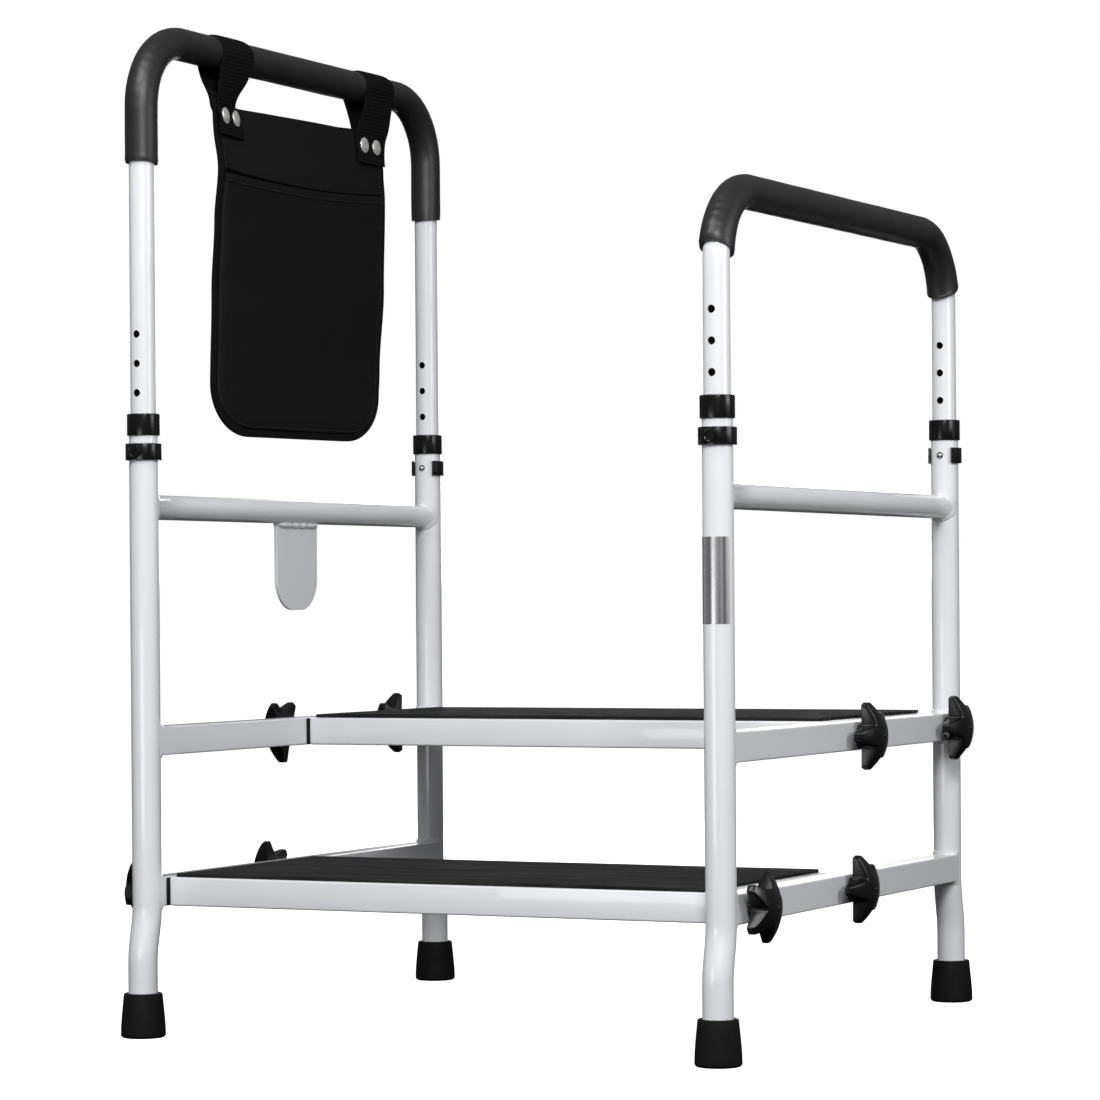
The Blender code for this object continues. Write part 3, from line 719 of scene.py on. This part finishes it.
def tread_frame(name, low, high, finish):
    """A rectangle of square tube, mitred at its corners, with all but the mitres rounded."""
    bm = bmesh.new()
    loops = []
    tube = high.z - low.z
    for inset, z in ((0, low.z), (0, high.z), (tube, high.z), (tube, low.z)):
        x0, y0, x1, y1 = low.x + inset, low.y + inset, high.x - inset, high.y - inset
        loops.append([bm.verts.new((x, y, z)) for x, y in ((x0, y0), (x1, y0), (x1, y1), (x0, y1))])
    for below, above in zip(loops, loops[1:] + loops[:1]):
        for k in range(4):
            bm.faces.new((below[k], below[(k + 1) % 4], above[(k + 1) % 4], above[k]))
    straight = [e for e in bm.edges if sum(abs(d) > 1e-6 for d in e.verts[0].co - e.verts[1].co) == 1]
    bmesh.ops.bevel(bm, geom=straight, offset=TUBE_EDGE_R, segments=4, profile=0.5, affect="EDGES")
    return from_bmesh(name, bm, finish, 50)


def make_shadow_gap_pads(level, low, high, finish):
    """Thin black pads filling the gap between the tread frame and its two rails, which show at the frame's
    ends: painted shade of that gap.
    """
    slack = 0.00003
    for side, sign in SIDES.items():
        rail = f"{side}_{level}_rail"
        rail_face = middle(rail).x - sign * size(rail).x / 2
        near, far = sorted((rail_face, low.x if sign < 0 else high.x))
        # Painted shade: a black sheet where the gap between frame and rail falls into shadow.
        shadow_gap_pad = bevelled_box(f"{side}_{level}_pad", (near + slack, low.y - 0.0024, low.z + 0.0004),
                           (far - slack, high.y + 0.0015, high.z - 0.0006), finish, 0.00005, 1)
        put(shadow_gap_pad, "frame", "black_rubber")


def make_mat(level, finish):
    """Rubber matting whose ribs run across the tread, with ends cut a little ragged."""
    node = f"{level}_step_mat"
    low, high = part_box(node)
    base, rows = 0.0016, 44
    ribs = round((high.y - low.y) / RIB_PITCH)
    pitch = (high.y - low.y) / ribs
    rib = ((0.0, 0.0), (0.12, 0.75), (0.26, 1.0), (0.62, 1.0), (0.76, 0.75), (0.88, 0.0))
    top = [(low.y + (n + u) * pitch, low.z + base + (high.z - low.z - base) * v)
           for n in range(ribs) for u, v in rib]
    section = [(low.y, low.z), *top, (high.y, low.z + base), (high.y, low.z)]
    rings = []
    for k in range(rows + 1):
        x = low.x + (high.x - low.x) * k / rows
        ring = []
        for n, (y, z) in enumerate(section):
            ragged = 0.0007 * noise.noise(Vector((n * 0.7, k, 1.5))) if k in (0, rows) else 0.0
            wave = 0.00018 * noise.noise(Vector((x * 9, y * 9, 0.3))) if z > low.z else 0.0
            front = 0.0006 * noise.noise(Vector((x * 60, 4.0, z * 400))) if n in (0, 1, 2) else 0.0
            ring.append(Vector((x + ragged, y + abs(front), z + wave)))
        rings.append(ring)
    put(loft(f"{node}_ribbed", rings, finish, caps=True, smooth_deg=50), "frame", "ribbed_rubber", node)


# ---- knobs ----
def star():
    """The outline of the five-lobed knob: straight flanks, blunt tips and narrow rounded valleys."""
    lobe = (((KNOB_TIP_R, -KNOB_TIP_HALF), 0), ((KNOB_TIP_R, KNOB_TIP_HALF), 0), ((KNOB_VALLEY_R, 0), 36))
    corners = [tuple(Matrix.Rotation(math.radians(72 * k + deg), 2) @ Vector(p))
               for k in range(5) for p, deg in lobe]
    return rounded(corners, [0.0018, 0.0018, 0.0022] * 5, 4)


def make_knobs(finish, steel):
    outline = densified(star(), 0.0016)
    for side, level in RAILS:
        for turn_deg, end_name in zip(KNOB_TURN_DEG[side, level], ENDS):
            node = f"{side}_{level}_{end_name}_knob"
            make_knob(node, SIDES[side], f"{side}_{level}_rail", turn_deg, outline, finish)
            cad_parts[f"{node}_bolt"].data.materials.clear()
            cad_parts[f"{node}_bolt"].data.materials.append(steel)


def make_knob(node, sign, rail, turn_deg, outline, finish):
    """A star knob with a domed face, a fluted hub against its rail, and a nub in its middle."""
    axis, bolt = "X" if sign > 0 else "-X", middle(f"{node}_bolt")
    face = Vector((middle(rail).x + sign * size(rail).x / 2, bolt.y, bolt.z))
    spin = Matrix.Rotation(math.radians(90 + sign * turn_deg), 2)
    lobe_base, peak, rim, edge = 0.0063, 0.0240, 0.0125, 0.0007

    def dome(radius):
        """Height of the domed face above the rail, at a distance from the knob's axis."""
        return peak - (peak - rim) * (radius / KNOB_TIP_R) ** 2

    def ring(points, height, scale=1.0):
        """Points placed on the knob, at one height or at a height for each."""
        placed = []
        for p in points:
            u, v = spin @ (scale * Vector(p))
            w = height(math.hypot(u, v)) if callable(height) else height
            placed.append(face + AXES[axis] @ Vector((u, v, w)))
        return placed

    shrunk, mid = (grown(outline, -edge * share) for share in (1, 0.35))
    rings = [
        ring(shrunk, lobe_base, 0.62), ring(shrunk, lobe_base), ring(outline, lobe_base + edge),
        ring(outline, lambda r: dome(r) - edge * 1.3), ring(mid, lambda r: dome(r) - edge * 0.45),
    ]
    shares = (1, 0.93, 0.85, 0.75, 0.64, 0.52, 0.40, 0.28, 0.16, 0.06)
    rings += [ring(shrunk, dome, share) for share in shares]
    put(loft(f"{node}_star", rings, finish, caps=True, smooth_deg=32), node, "black_plastic", node)

    flutes, hub = 12, []
    for height, inset in ((0.0003, 0.0006), (0.0009, 0), (lobe_base + 0.001, 0)):
        outline = []
        for t in turns(8 * flutes):
            r = 0.0104 - inset - 0.0006 * (0.5 + 0.5 * math.cos(flutes * t)) ** 3
            outline.append((r * math.cos(t), r * math.sin(t)))
        hub.append(ring(outline, height))
    put(loft(f"{node}_hub", hub, finish, caps=True), node, "black_plastic")

    profile = [(0, -0.001), *[(r, 0.55 * h) for r, h in arc((0, 0), 0.0021, 0, 90, 6)]]
    top = face + AXES[axis] @ Vector((0, 0, peak - 0.0001))
    put(lathe(f"{node}_nub", profile, finish, top, axis, 24), node, "black_plastic")


# ---- foam grips ----
def make_grips(finish):
    for side, seed in SIDES.items():
        node, bend_z = f"{side}_foam_grip", handle_bend_z(side)
        floor_z, bend_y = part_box(node)[0].z, abs(middle(f"{side}_front_collar").y) - BEND_R
        path = [p for p in divided(handle_path(side), 0.0022) if p.z >= floor_z + 0.003]
        start, stop = (Vector((p.x, p.y, floor_z + GRIP_ENDS[side, end_name][0]))
                       for p, end_name in zip((path[0], path[-1]), ENDS))
        path = [start, *path, stop]
        lengths = distances(path)
        total = lengths[-1]
        bends = [s for p, s in zip(path[1:], lengths[1:]) if p.z > bend_z and abs(p.y) > bend_y]
        first = (bends[0], max(s for s in bends if s < total / 2))
        last = (min(s for s in bends if s > total / 2), bends[-1])

        def radius_at(s, t):
            """The sleeve's radius: soft lumps, a swollen rim, and creases inside each bend."""
            r = GRIP_R + 0.00016 * noise.noise(Vector((s * 40, math.cos(t) * 1.5, math.sin(t) * 1.5 + seed)))
            rim = min(s, total - s)
            r += 0.00035 * math.exp(-(rim / 0.004) ** 2) - 0.0007 * max(0.0, 1 - rim / 0.0010) ** 2
            for low, high in (first, last):
                if low < s < high:
                    inner = max(0.0, math.sin(t)) ** 3 * math.sin(math.pi * (s - low) / (high - low)) ** 0.5
                    drift = 2 * noise.noise(Vector((s * 90, seed, t)))
                    crease = 0.5 + 0.5 * math.sin(2 * math.pi * s / 0.0085 + drift)
                    r -= inner * (0.00045 * crease ** 4 + 0.0006)
            return r

        outer, inner = tube_rings(path, radius_at), tube_rings(path, lambda s, t: INNER_R + 0.0002)
        for rings in (outer, inner):
            slant_ends(rings, path, lengths, side)
        grip = loft(f"{node}_sleeve", outer + inner[::-1], finish, close_path=True, smooth_deg=50)
        put(grip, f"{side}_handle", "black_foam", node)


def slant_ends(rings, path, lengths, side):
    """Cuts the sleeve's two ends on a slant: higher on the outer side of the bend than on the inner."""
    reach, total = 0.03, lengths[-1]
    for ring, point, s in zip(rings, path, lengths):
        near = max(0.0, 1 - min(s, total - s) / reach)
        outward, end_name = (-1, "front") if point.y < 0 else (1, "rear")
        slope = math.tan(math.radians(GRIP_ENDS[side, end_name][1]))
        for p in ring:
            p.z += near * slope * outward * (p.y - point.y)


# ---- pouch ----
def make_pouch(fabric, binding, mouth_shade, thread, webbing, caps):
    """The sewn pouch: a stiff back panel, a puffed pocket, binding, stitches, loops and snaps."""
    low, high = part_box("pouch_back_panel")
    mouth_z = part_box("pouch_front_pocket")[1].z
    shape = PouchShape(low, high, mouth_z)

    panel = put(shape.panel("pouch_panel", fabric), "pouch", "black_fabric", "pouch_back_panel")
    pocket = put(shape.pocket("pouch_pocket", fabric), "pouch", "black_fabric", "pouch_front_pocket")
    strip = shape.mouth_strip
    trims = [
        put(shape.edging("pouch_binding", binding), "pouch", "black_webbing"),
        put(strip("pouch_mouth_hem", fabric, shape.hem_section, 50), "pouch", "black_fabric"),
        put(shape.stitches("pouch_stitches", thread), "pouch", "black_webbing"),
        # The near-black strip inside the mouth is painted shade.
        put(strip("pouch_pocket_mouth_shade", mouth_shade, shape.mouth_shade_section), "pouch", "black_webbing"),
    ]
    shape.area(high.z)
    shape.area(mouth_z)
    for made in (panel, pocket, *trims):
        fold(made)
    for end_name in ENDS:
        make_loop(end_name, shape, webbing, caps)


def fold(obj):
    """Gives the piece its own copy of its mesh."""
    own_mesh(obj)


class PouchShape:
    """Where the pouch's cloth lies: how far it bows from its flat plane, and its outlines."""

    def __init__(self, low, high, mouth_z):
        self.low, self.high, self.mouth_z = low + Vector((0, POUCH_FRONT_INSET, 0)), high, mouth_z
        self.thick, self.back_x, self.mid_y = high.x - low.x, (low.x + high.x) / 2, (low.y + high.y) / 2

    def x_at(self, y, z):
        """The X of the cloth, which stands toward +X of its flat plane."""
        down, share = self.high.z - z, (y - self.low.y) / (self.high.y - self.low.y)
        front, rear = eased(FRONT_BOW, down), eased(REAR_BOW, down)
        sag = 0.0008 * noise.noise(Vector((y * 11, z * 8, 0.7)))
        off = y - STRAPS["front"][0]
        turned = -POUCH_CORNER_TURN * off * math.exp(-(off / 0.034) ** 2 - (down / 0.045) ** 2)
        return self.back_x + front + (rear - front) * share + sag + turned

    def outline(self, top_z, inset=0.0):
        """The (y, z) outline, round at its lower corners, with its rear ones a little higher."""
        low, high = self.low, self.high
        a, b = POUCH_CORNER[0] - inset, POUCH_CORNER[1] - inset
        points = [(low.y + inset, top_z)]
        for y, z, start in ((low.y + inset + a, low.z, 180), (high.y - inset - a, low.z + 0.002, 270)):
            quarter = [math.radians(start + 90 * k / 16) for k in range(17)]
            points += [(y + a * math.cos(t), z + inset + b + b * math.sin(t)) for t in quarter]
        return [*points, (high.y - inset, top_z)]

    def lifted(self, y, z):
        """Where a place near the top edge is pulled up to by the loops."""
        share = max(0.0, 1 - (self.high.z - z) / 0.035)
        return z + eased(TOP_LIFT, y) * share * share * (3 - 2 * share)

    def area(self, top_z):
        points = np.array(self.outline(top_z))
        after = np.roll(points, -1, axis=0)
        return float(abs((points[:, 0] * after[:, 1] - points[:, 1] * after[:, 0]).sum()) / 2)

    def filled(self, top_z, spacing, inset=0.0):
        """A flat mesh of the outline, as a bmesh of (0, y, z) points on a fine grid."""
        bm = bmesh.new()
        bm.faces.new([bm.verts.new((0, y, z)) for y, z in densified(self.outline(top_z, inset), spacing)])
        for normal, low, high in (((0, 1, 0), self.low.y, self.high.y), ((0, 0, 1), self.low.z, top_z)):
            normal, count = Vector(normal), round((high - low) / spacing)
            for k in range(1, count):
                at = low + (high - low) * k / count
                geometry = bm.verts[:] + bm.edges[:] + bm.faces[:]
                bmesh.ops.bisect_plane(bm, geom=geometry, plane_co=normal * at, plane_no=normal)
        return bm

    def panel(self, name, finish):
        bm = self.filled(self.high.z, 0.006)
        for v in bm.verts:
            v.co.x = self.x_at(v.co.y, v.co.z)
            v.co.z = self.lifted(v.co.y, v.co.z)
        bmesh.ops.solidify(bm, geom=bm.faces[:], thickness=self.thick * 0.8)
        return from_bmesh(name, bm, finish, 60)

    def mouth_at(self, y):
        """The pocket's top edge, which dips between its two ends."""
        u = (y - self.low.y) / (self.high.y - self.low.y)
        return self.mouth_z - 0.0035 + 0.0055 * u - 0.0058 * max(0.0, math.sin(math.pi * u)) ** 0.8

    def puff(self, y, z):
        """How far the pocket stands off the panel: a firm edge, then a slight rise to its middle."""
        side = min(y - self.low.y, self.high.y - y) - POCKET_INSET
        across, up = POUCH_CORNER[0] - POCKET_INSET, POUCH_CORNER[1] - POCKET_INSET
        foot = z - self.low.z - POCKET_INSET - (0.002 if y > self.mid_y else 0.0)
        edge = min(side, foot)
        if side < across and foot < up:
            edge = up * (1 - math.hypot(1 - side / across, 1 - foot / up))
        rise, swell = min(1.0, max(0.0, edge) / 0.009), min(1.0, max(0.0, side) / 0.09)
        return 0.0009 + 0.0030 * math.sin(math.pi * rise / 2) ** 0.8 + 0.0020 * math.sin(math.pi * swell / 2)

    def pocket(self, name, finish):
        bm = self.filled(self.mouth_z, 0.0045, POCKET_INSET)
        for v in bm.verts:
            share = (v.co.z - self.low.z) / (self.mouth_z - self.low.z)
            v.co.z = self.low.z + share * (self.mouth_at(v.co.y) - self.low.z)
            v.co.x = self.x_at(v.co.y, v.co.z) + self.puff(v.co.y, v.co.z)
        bmesh.ops.solidify(bm, geom=bm.faces[:], thickness=0.0006)
        return from_bmesh(name, bm, finish, 60)

    def mouth_strip(self, name, finish, section_at, smooth_deg=35):
        """A strip along the pocket's mouth. section_at(y, mouth's z, share along it) gives (x, z) points."""
        start, stop, steps = self.low.y + POCKET_INSET, self.high.y - POCKET_INSET, 90
        rings = []
        for k in range(steps + 1):
            y = start + (stop - start) * k / steps
            rings.append([Vector((x, y, z)) for x, z in section_at(y, self.mouth_at(y), k / steps)])
        return loft(name, rings, finish, caps=True, smooth_deg=smooth_deg)

    def hem_section(self, y, z, _share):
        """The rolled hem."""
        x = self.x_at(y, z) + self.puff(y, z - 0.004)
        corners = ((-0.0012, -0.0045), (0.0001, -0.0045), (0.0015, 0.0030), (-0.0012, 0.0030))
        return [(x + u, z - 0.0025 + v) for u, v in rounded(corners, 0.0006, 3)]

    def mouth_shade_section(self, y, z, share):
        """A near-black strip inside the pocket's mouth, which shows as a narrow band above the hem: painted
        shade of the gap.
        """
        z += 0.0012
        x, top = self.x_at(y, z) + 0.0004, z + 0.0016 + 0.0030 * (1 - share) ** 2
        return [(x, z - 0.004), (x + 0.0006, z - 0.004), (x + 0.0006, top), (x, top)]

    def rim(self, inset):
        """Points round the panel's edge, all but its top, each with its outward direction as (y, z)."""
        outline = densified(self.outline(self.high.z, inset), 0.003)
        outward = grown(outline, 1.0) - np.array(outline)
        return [(p, out) for p, out in zip(outline, outward) if p[1] <= self.high.z - 0.0005]

    def edging(self, name, finish):
        """Binding tape folded over the panel's edge."""
        rings = []
        width, thick = 0.0066, 0.0006
        for (y, z), (oy, oz) in self.rim(0.0):
            back, front = self.x_at(y, z) - 0.0019, self.x_at(y, z) + 0.0006
            z = self.lifted(y, z)
            profile = [
                (back, -width), (back - thick * 0.6, -width * 0.5), (back - thick, 0.0),
                (back - thick * 0.3, 0.0010), (front + thick * 0.3, 0.0010), (front + thick, -0.0004),
                (front + thick, -width + 0.0008), (front, -width),
            ]
            rings.append([Vector((x, y + oy * out, z + oz * out)) for x, out in profile])
        return loft(name, rings, finish, caps=True, smooth_deg=60)

    def stitches(self, name, finish):
        """A row of small stitches along the binding, and another under the mouth."""
        bm = bmesh.new()
        for (y, z), (oy, oz) in self.rim(POCKET_INSET + 0.0014):
            stand = self.puff(y, z) + 0.0001 if z < self.mouth_at(y) else 0.0008
            add_stitch(bm, Vector((self.x_at(y, z) + stand, y, self.lifted(y, z))), Vector((0, -oz, oy)))
        start, stop, last = self.low.y + 0.011, self.high.y - 0.011, 83
        for k in range(last + 1):
            y = start + (stop - start) * k / last
            z = self.mouth_at(y) - 0.0058
            add_stitch(bm, Vector((self.x_at(y, z) + self.puff(y, z) + 0.0011, y, z)), Vector((0, 1, 0)))
        return from_bmesh(name, bm, finish, 60)


def add_stitch(bm, centre, along):
    """One stitch: a short thread with tapered ends."""
    length, radius, out = 0.0024, 0.00042, Vector((1, 0, 0))
    side = along.cross(out).normalized()
    rings = []
    for share, r in ((-0.5, 0.35), (-0.3, 1.0), (0.3, 1.0), (0.5, 0.35)):
        here = centre + along * (length * share) - out * (radius * (1 - r))
        rings.append([bm.verts.new(here + radius * r * (math.cos(t) * side + math.sin(t) * out))
                      for t in turns(6)])
    for a, b in zip(rings, rings[1:]):
        for k in range(6):
            bm.faces.new((a[k], a[(k + 1) % 6], b[(k + 1) % 6], b[k]))
    bm.faces.new(rings[0])
    bm.faces.new(rings[-1])


def make_loop(end_name, shape, webbing, caps):
    """A loop of ribbed webbing over the grip, its two ends held on the panel by two snaps."""
    node = f"pouch_{end_name}_strap"
    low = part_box(node)[0]
    low_y, bar_y, snap_offset, halves = STRAPS[end_name]
    bar = Vector((middle("left_foam_grip").x, 0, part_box("left_handle_tube")[1].z - INNER_R))
    top_z = shape.high.z
    neck_z, thick, columns = top_z + 0.006, 0.0014, 16

    def line(sign):
        """The strap's own line on one side of the panel, from its end up to the bar's crown, as (x, z)."""
        stand = 0.0030 if sign > 0 else -0.0032
        lower = [(shape.x_at(low_y, z) + stand - bar.x, z) for z in np.linspace(low.z, top_z - 0.002, 16)]
        wrap = arc((0, bar.z), GRIP_R + 0.0008, -18 if sign > 0 else 198, 90, 18)
        start, stop = Vector(lower[-1]), Vector(wrap[0])
        mid = Vector((start.x + 0.001 * sign, neck_z))
        bend = [tuple(start.lerp(mid, t).lerp(mid.lerp(stop, t), t)) for t in np.linspace(0, 1, 18)[1:-1]]
        return lower + bend + wrap

    route = divided([Vector((x, 0, z)) for x, z in line(1) + line(-1)[::-1][1:]], 0.0004)
    lengths = distances(route)
    rings = []
    for k, point in enumerate(route):
        on_front = k < len(route) / 2
        tangent = (route[min(len(route) - 1, k + 1)] - route[max(0, k - 1)]).normalized()
        outward = Vector((tangent.z, 0, -tangent.x))
        rise = (point.z - low.z) / (bar.z - low.z)
        pinch = math.exp(-((point.z - neck_z) / 0.017) ** 2) * on_front
        full = eased(((0.2, halves[0]), (0.9, halves[2])), rise)
        gather = (halves[1] - full) * pinch
        width = full + gather
        y_mid = eased(((0, low_y), (1, bar_y)), rise) + min(0.0, gather)
        turn = turned_by(shape, end_name, point.z) * (1 if on_front else -1)
        rib = 0.0007 * (0.5 + 0.5 * math.sin(2 * math.pi * lengths[k] / 0.0033)) ** 0.6
        top_row, under_row = [], []
        for u in np.linspace(-1, 1, columns + 1):
            lift = max(0.0, -gather) * 0.25 * u * u - turn * u * width
            selvedge = thick / 2 * (1 - 0.6 * max(0, abs(u) - 0.86) / 0.14)
            place = Vector((bar.x, y_mid + u * width, 0)) + point + outward * lift
            top_row.append(place + outward * (selvedge + rib * (1 - u ** 8)))
            under_row.append(place - outward * (selvedge + rib * (1 - u ** 8) * 0.5))
        rings.append(top_row + under_row[::-1])
    strap = loft(f"{node}_webbing", rings, webbing, caps=True, smooth_deg=60)
    put(strap, "pouch", "black_webbing", node)
    z = top_z - 0.0108
    turn = turned_by(shape, end_name, z)
    for k, offset in enumerate((-snap_offset, snap_offset)):
        y = low_y - 0.002 + offset
        slope_z = (shape.x_at(y, z + 0.004) - shape.x_at(y, z - 0.004)) / 0.008
        for face, face_name, stand in ((1, "inner", 0.0034), (-1, "outer", -0.0036)):
            x = shape.x_at(low_y, z) - turn * (y - low_y) + stand + face * thick / 2
            outward = face * Vector((1, turn, -0.3 * slope_z)).normalized()
            make_snap(f"pouch_{end_name}_snap_{k}_{face_name}", Vector((x, y, z)), outward, caps)


def turned_by(shape, end_name, z):
    """The slope across a loop where its lower end follows the turned corner of the panel."""
    if end_name == "rear":
        return 0.0
    down = shape.high.z - z
    share = eased(((-0.028, 0.0), (-0.002, 0.9)), down)
    return POUCH_CORNER_TURN * share * math.exp(-(down / 0.045) ** 2)


def make_snap(name, centre, outward, finish):
    """A domed snap cap with a rolled rim and a shallow dish in its middle."""
    radius = 0.0075
    profile = [
        (0, -0.0004), (radius - 0.0006, -0.0004), *arc((radius - 0.0009, 0.0007), 0.0009, -60, 90, 7),
        (radius - 0.0017, 0.0015), (radius - 0.0025, 0.0019), (radius - 0.0036, 0.0023),
        (radius - 0.0048, 0.0025), (0.0018, 0.0024), (0.0009, 0.0021), (0, 0.0020),
    ]
    put(lathe(name, profile, finish, centre, outward, 40, 60), "pouch", "zinc_steel")


# ---- studio ----
def make_camera():
    data = bpy.data.cameras.new("camera")
    data.sensor_width = 36
    data.lens = CAMERA_LENS_MM
    data.shift_y = CAMERA_SHIFT_Y
    data.clip_end = 50
    camera = new_object("camera", data)
    tilt, roll, heading = (math.radians(a) for a in CAMERA_AIM_DEG)
    turn = Matrix.Rotation(heading, 4, "Z") @ Matrix.Rotation(tilt, 4, "X") @ Matrix.Rotation(roll, 4, "Z")
    camera.matrix_world = Matrix.Translation(CAMERA_AT) @ turn
    bpy.context.scene.camera = camera


def make_light(name, at, aim, width, height, watts):
    data = bpy.data.lights.new(name, "AREA")
    data.shape = "RECTANGLE"
    data.size, data.size_y = width, height
    data.energy = watts
    light = new_object(name, data)
    light.location = at
    light.rotation_euler = (Vector(aim) - Vector(at)).to_track_quat("-Z", "Y").to_euler()


def make_world():
    """A soft light that grows from below the floor to overhead."""
    world = bpy.data.worlds.new("studio")
    world.use_nodes = True
    tree = world.node_tree
    facing = add_node(tree, "ShaderNodeTexCoord").outputs["Generated"]
    height = add_node(tree, "ShaderNodeSeparateXYZ", {0: facing}).outputs["Z"]
    inputs = {"Value": height, "From Min": -0.6, "From Max": 0.7, "To Min": SKY_BELOW, "To Max": SKY_ABOVE}
    rise = add_node(tree, "ShaderNodeMapRange", inputs, interpolation_type="SMOOTHSTEP").outputs["Result"]
    plug(tree, tree.nodes["Background"].inputs["Strength"], rise)
    plug(tree, tree.nodes["Background"].inputs["Color"], (0.97, 0.98, 1.0, 1))
    bpy.context.scene.world = world
    bpy.context.scene.view_settings.view_transform = "Standard"


def make_studio():
    """Soft light, a pale floor, and a white backdrop that only the camera sees."""
    make_world()
    for light in LIGHTS:
        make_light(*light)
    glow = {"Emission_Color": (1, 1, 1, 1)}
    floor = Finish("studio_floor", (0.9, 0.9, 0.9), 0.9, Emission_Strength=0.95, **glow)
    floor.set(Base_Color=floor.mixed(floor.noise(3, 2), (0.89, 0.89, 0.89), (0.91, 0.91, 0.91)))
    half = 40
    corners = [(-half, -half, 0), (half, -half, 0), (half, half, 0), (-half, half, 0)]
    make_stage("studio_floor", corners, [(0, 1, 2, 3)], floor)

    backdrop = Finish("studio_backdrop", (0, 0, 0), 1.0, Emission_Strength=1.0, **glow)
    radius, steps = 38, 48
    points = [(radius * math.cos(t), radius * math.sin(t), z) for z in (-1.0, 30.0) for t in turns(steps)]
    faces = [*band(0, steps, steps), tuple(range(steps, 2 * steps))]
    make_stage("studio_backdrop", points, faces, backdrop).visible_shadow = False


def make_stage(name, points, faces, finish):
    """A part of the stage that the camera sees, but that throws no light on the object."""
    mesh = bpy.data.meshes.new(name)
    mesh.from_pydata(points, [], faces)
    mesh.materials.append(finish.material)
    obj = new_object(name, mesh)
    obj.visible_diffuse = obj.visible_glossy = obj.visible_transmission = False
    return obj


# ---- the whole object ----
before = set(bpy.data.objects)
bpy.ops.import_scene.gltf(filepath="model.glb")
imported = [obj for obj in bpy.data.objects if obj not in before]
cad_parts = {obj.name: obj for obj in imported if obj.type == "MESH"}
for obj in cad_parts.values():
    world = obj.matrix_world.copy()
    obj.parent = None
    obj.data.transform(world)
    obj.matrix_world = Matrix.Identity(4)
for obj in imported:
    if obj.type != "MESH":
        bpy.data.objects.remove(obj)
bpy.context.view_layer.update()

make_camera()
make_studio()

PAINT, FOAM, PLASTIC, RUBBER = powder_coat(), foam(), moulded_plastic(), rubber()
ZINC, NICKEL_WITH_PAINTED_REFLECTION = zinc(), nickel_with_painted_reflection()
FABRIC = woven("black_fabric", (0.0062, 0.0062, 0.0066), (0.0100, 0.0100, 0.0105), 0.00045, 0.00012, 0.14)
BINDING = woven("black_binding", (0.0052, 0.0052, 0.0054), (0.0078, 0.0078, 0.0081), 0.0006, 0.00015, 0.09)
# Near-black, almost unshiny cloth for the strip in the pocket's mouth: painted shade.
MOUTH_SHADE = woven("black_mouth_shade", (0.0016, 0.0016, 0.0017), (0.0026, 0.0026, 0.0027), 0.0006, 0.00010, 0.02)
THREAD = woven("black_thread", (0.015, 0.015, 0.0155), (0.022, 0.022, 0.0225), 0.0006, 0.00005, 0.3)
WEBBING = woven("black_webbing", (0.0055, 0.0055, 0.0058), (0.0095, 0.0095, 0.0100), 0.0005, 0.0002, 0.06)

make_legs(PAINT)
make_handles(PAINT, RUBBER)
make_cross_bars(PAINT)
make_rails(PAINT)
make_tongue(PAINT)
make_feet(RUBBER)
make_collars(PLASTIC)
make_clips(PLASTIC, ZINC)
make_label(foil())
make_treads(PAINT, matting(), board(), RUBBER)
make_knobs(PLASTIC, ZINC)
make_grips(FOAM)
make_pouch(FABRIC, BINDING, MOUTH_SHADE, THREAD, WEBBING, NICKEL_WITH_PAINTED_REFLECTION)
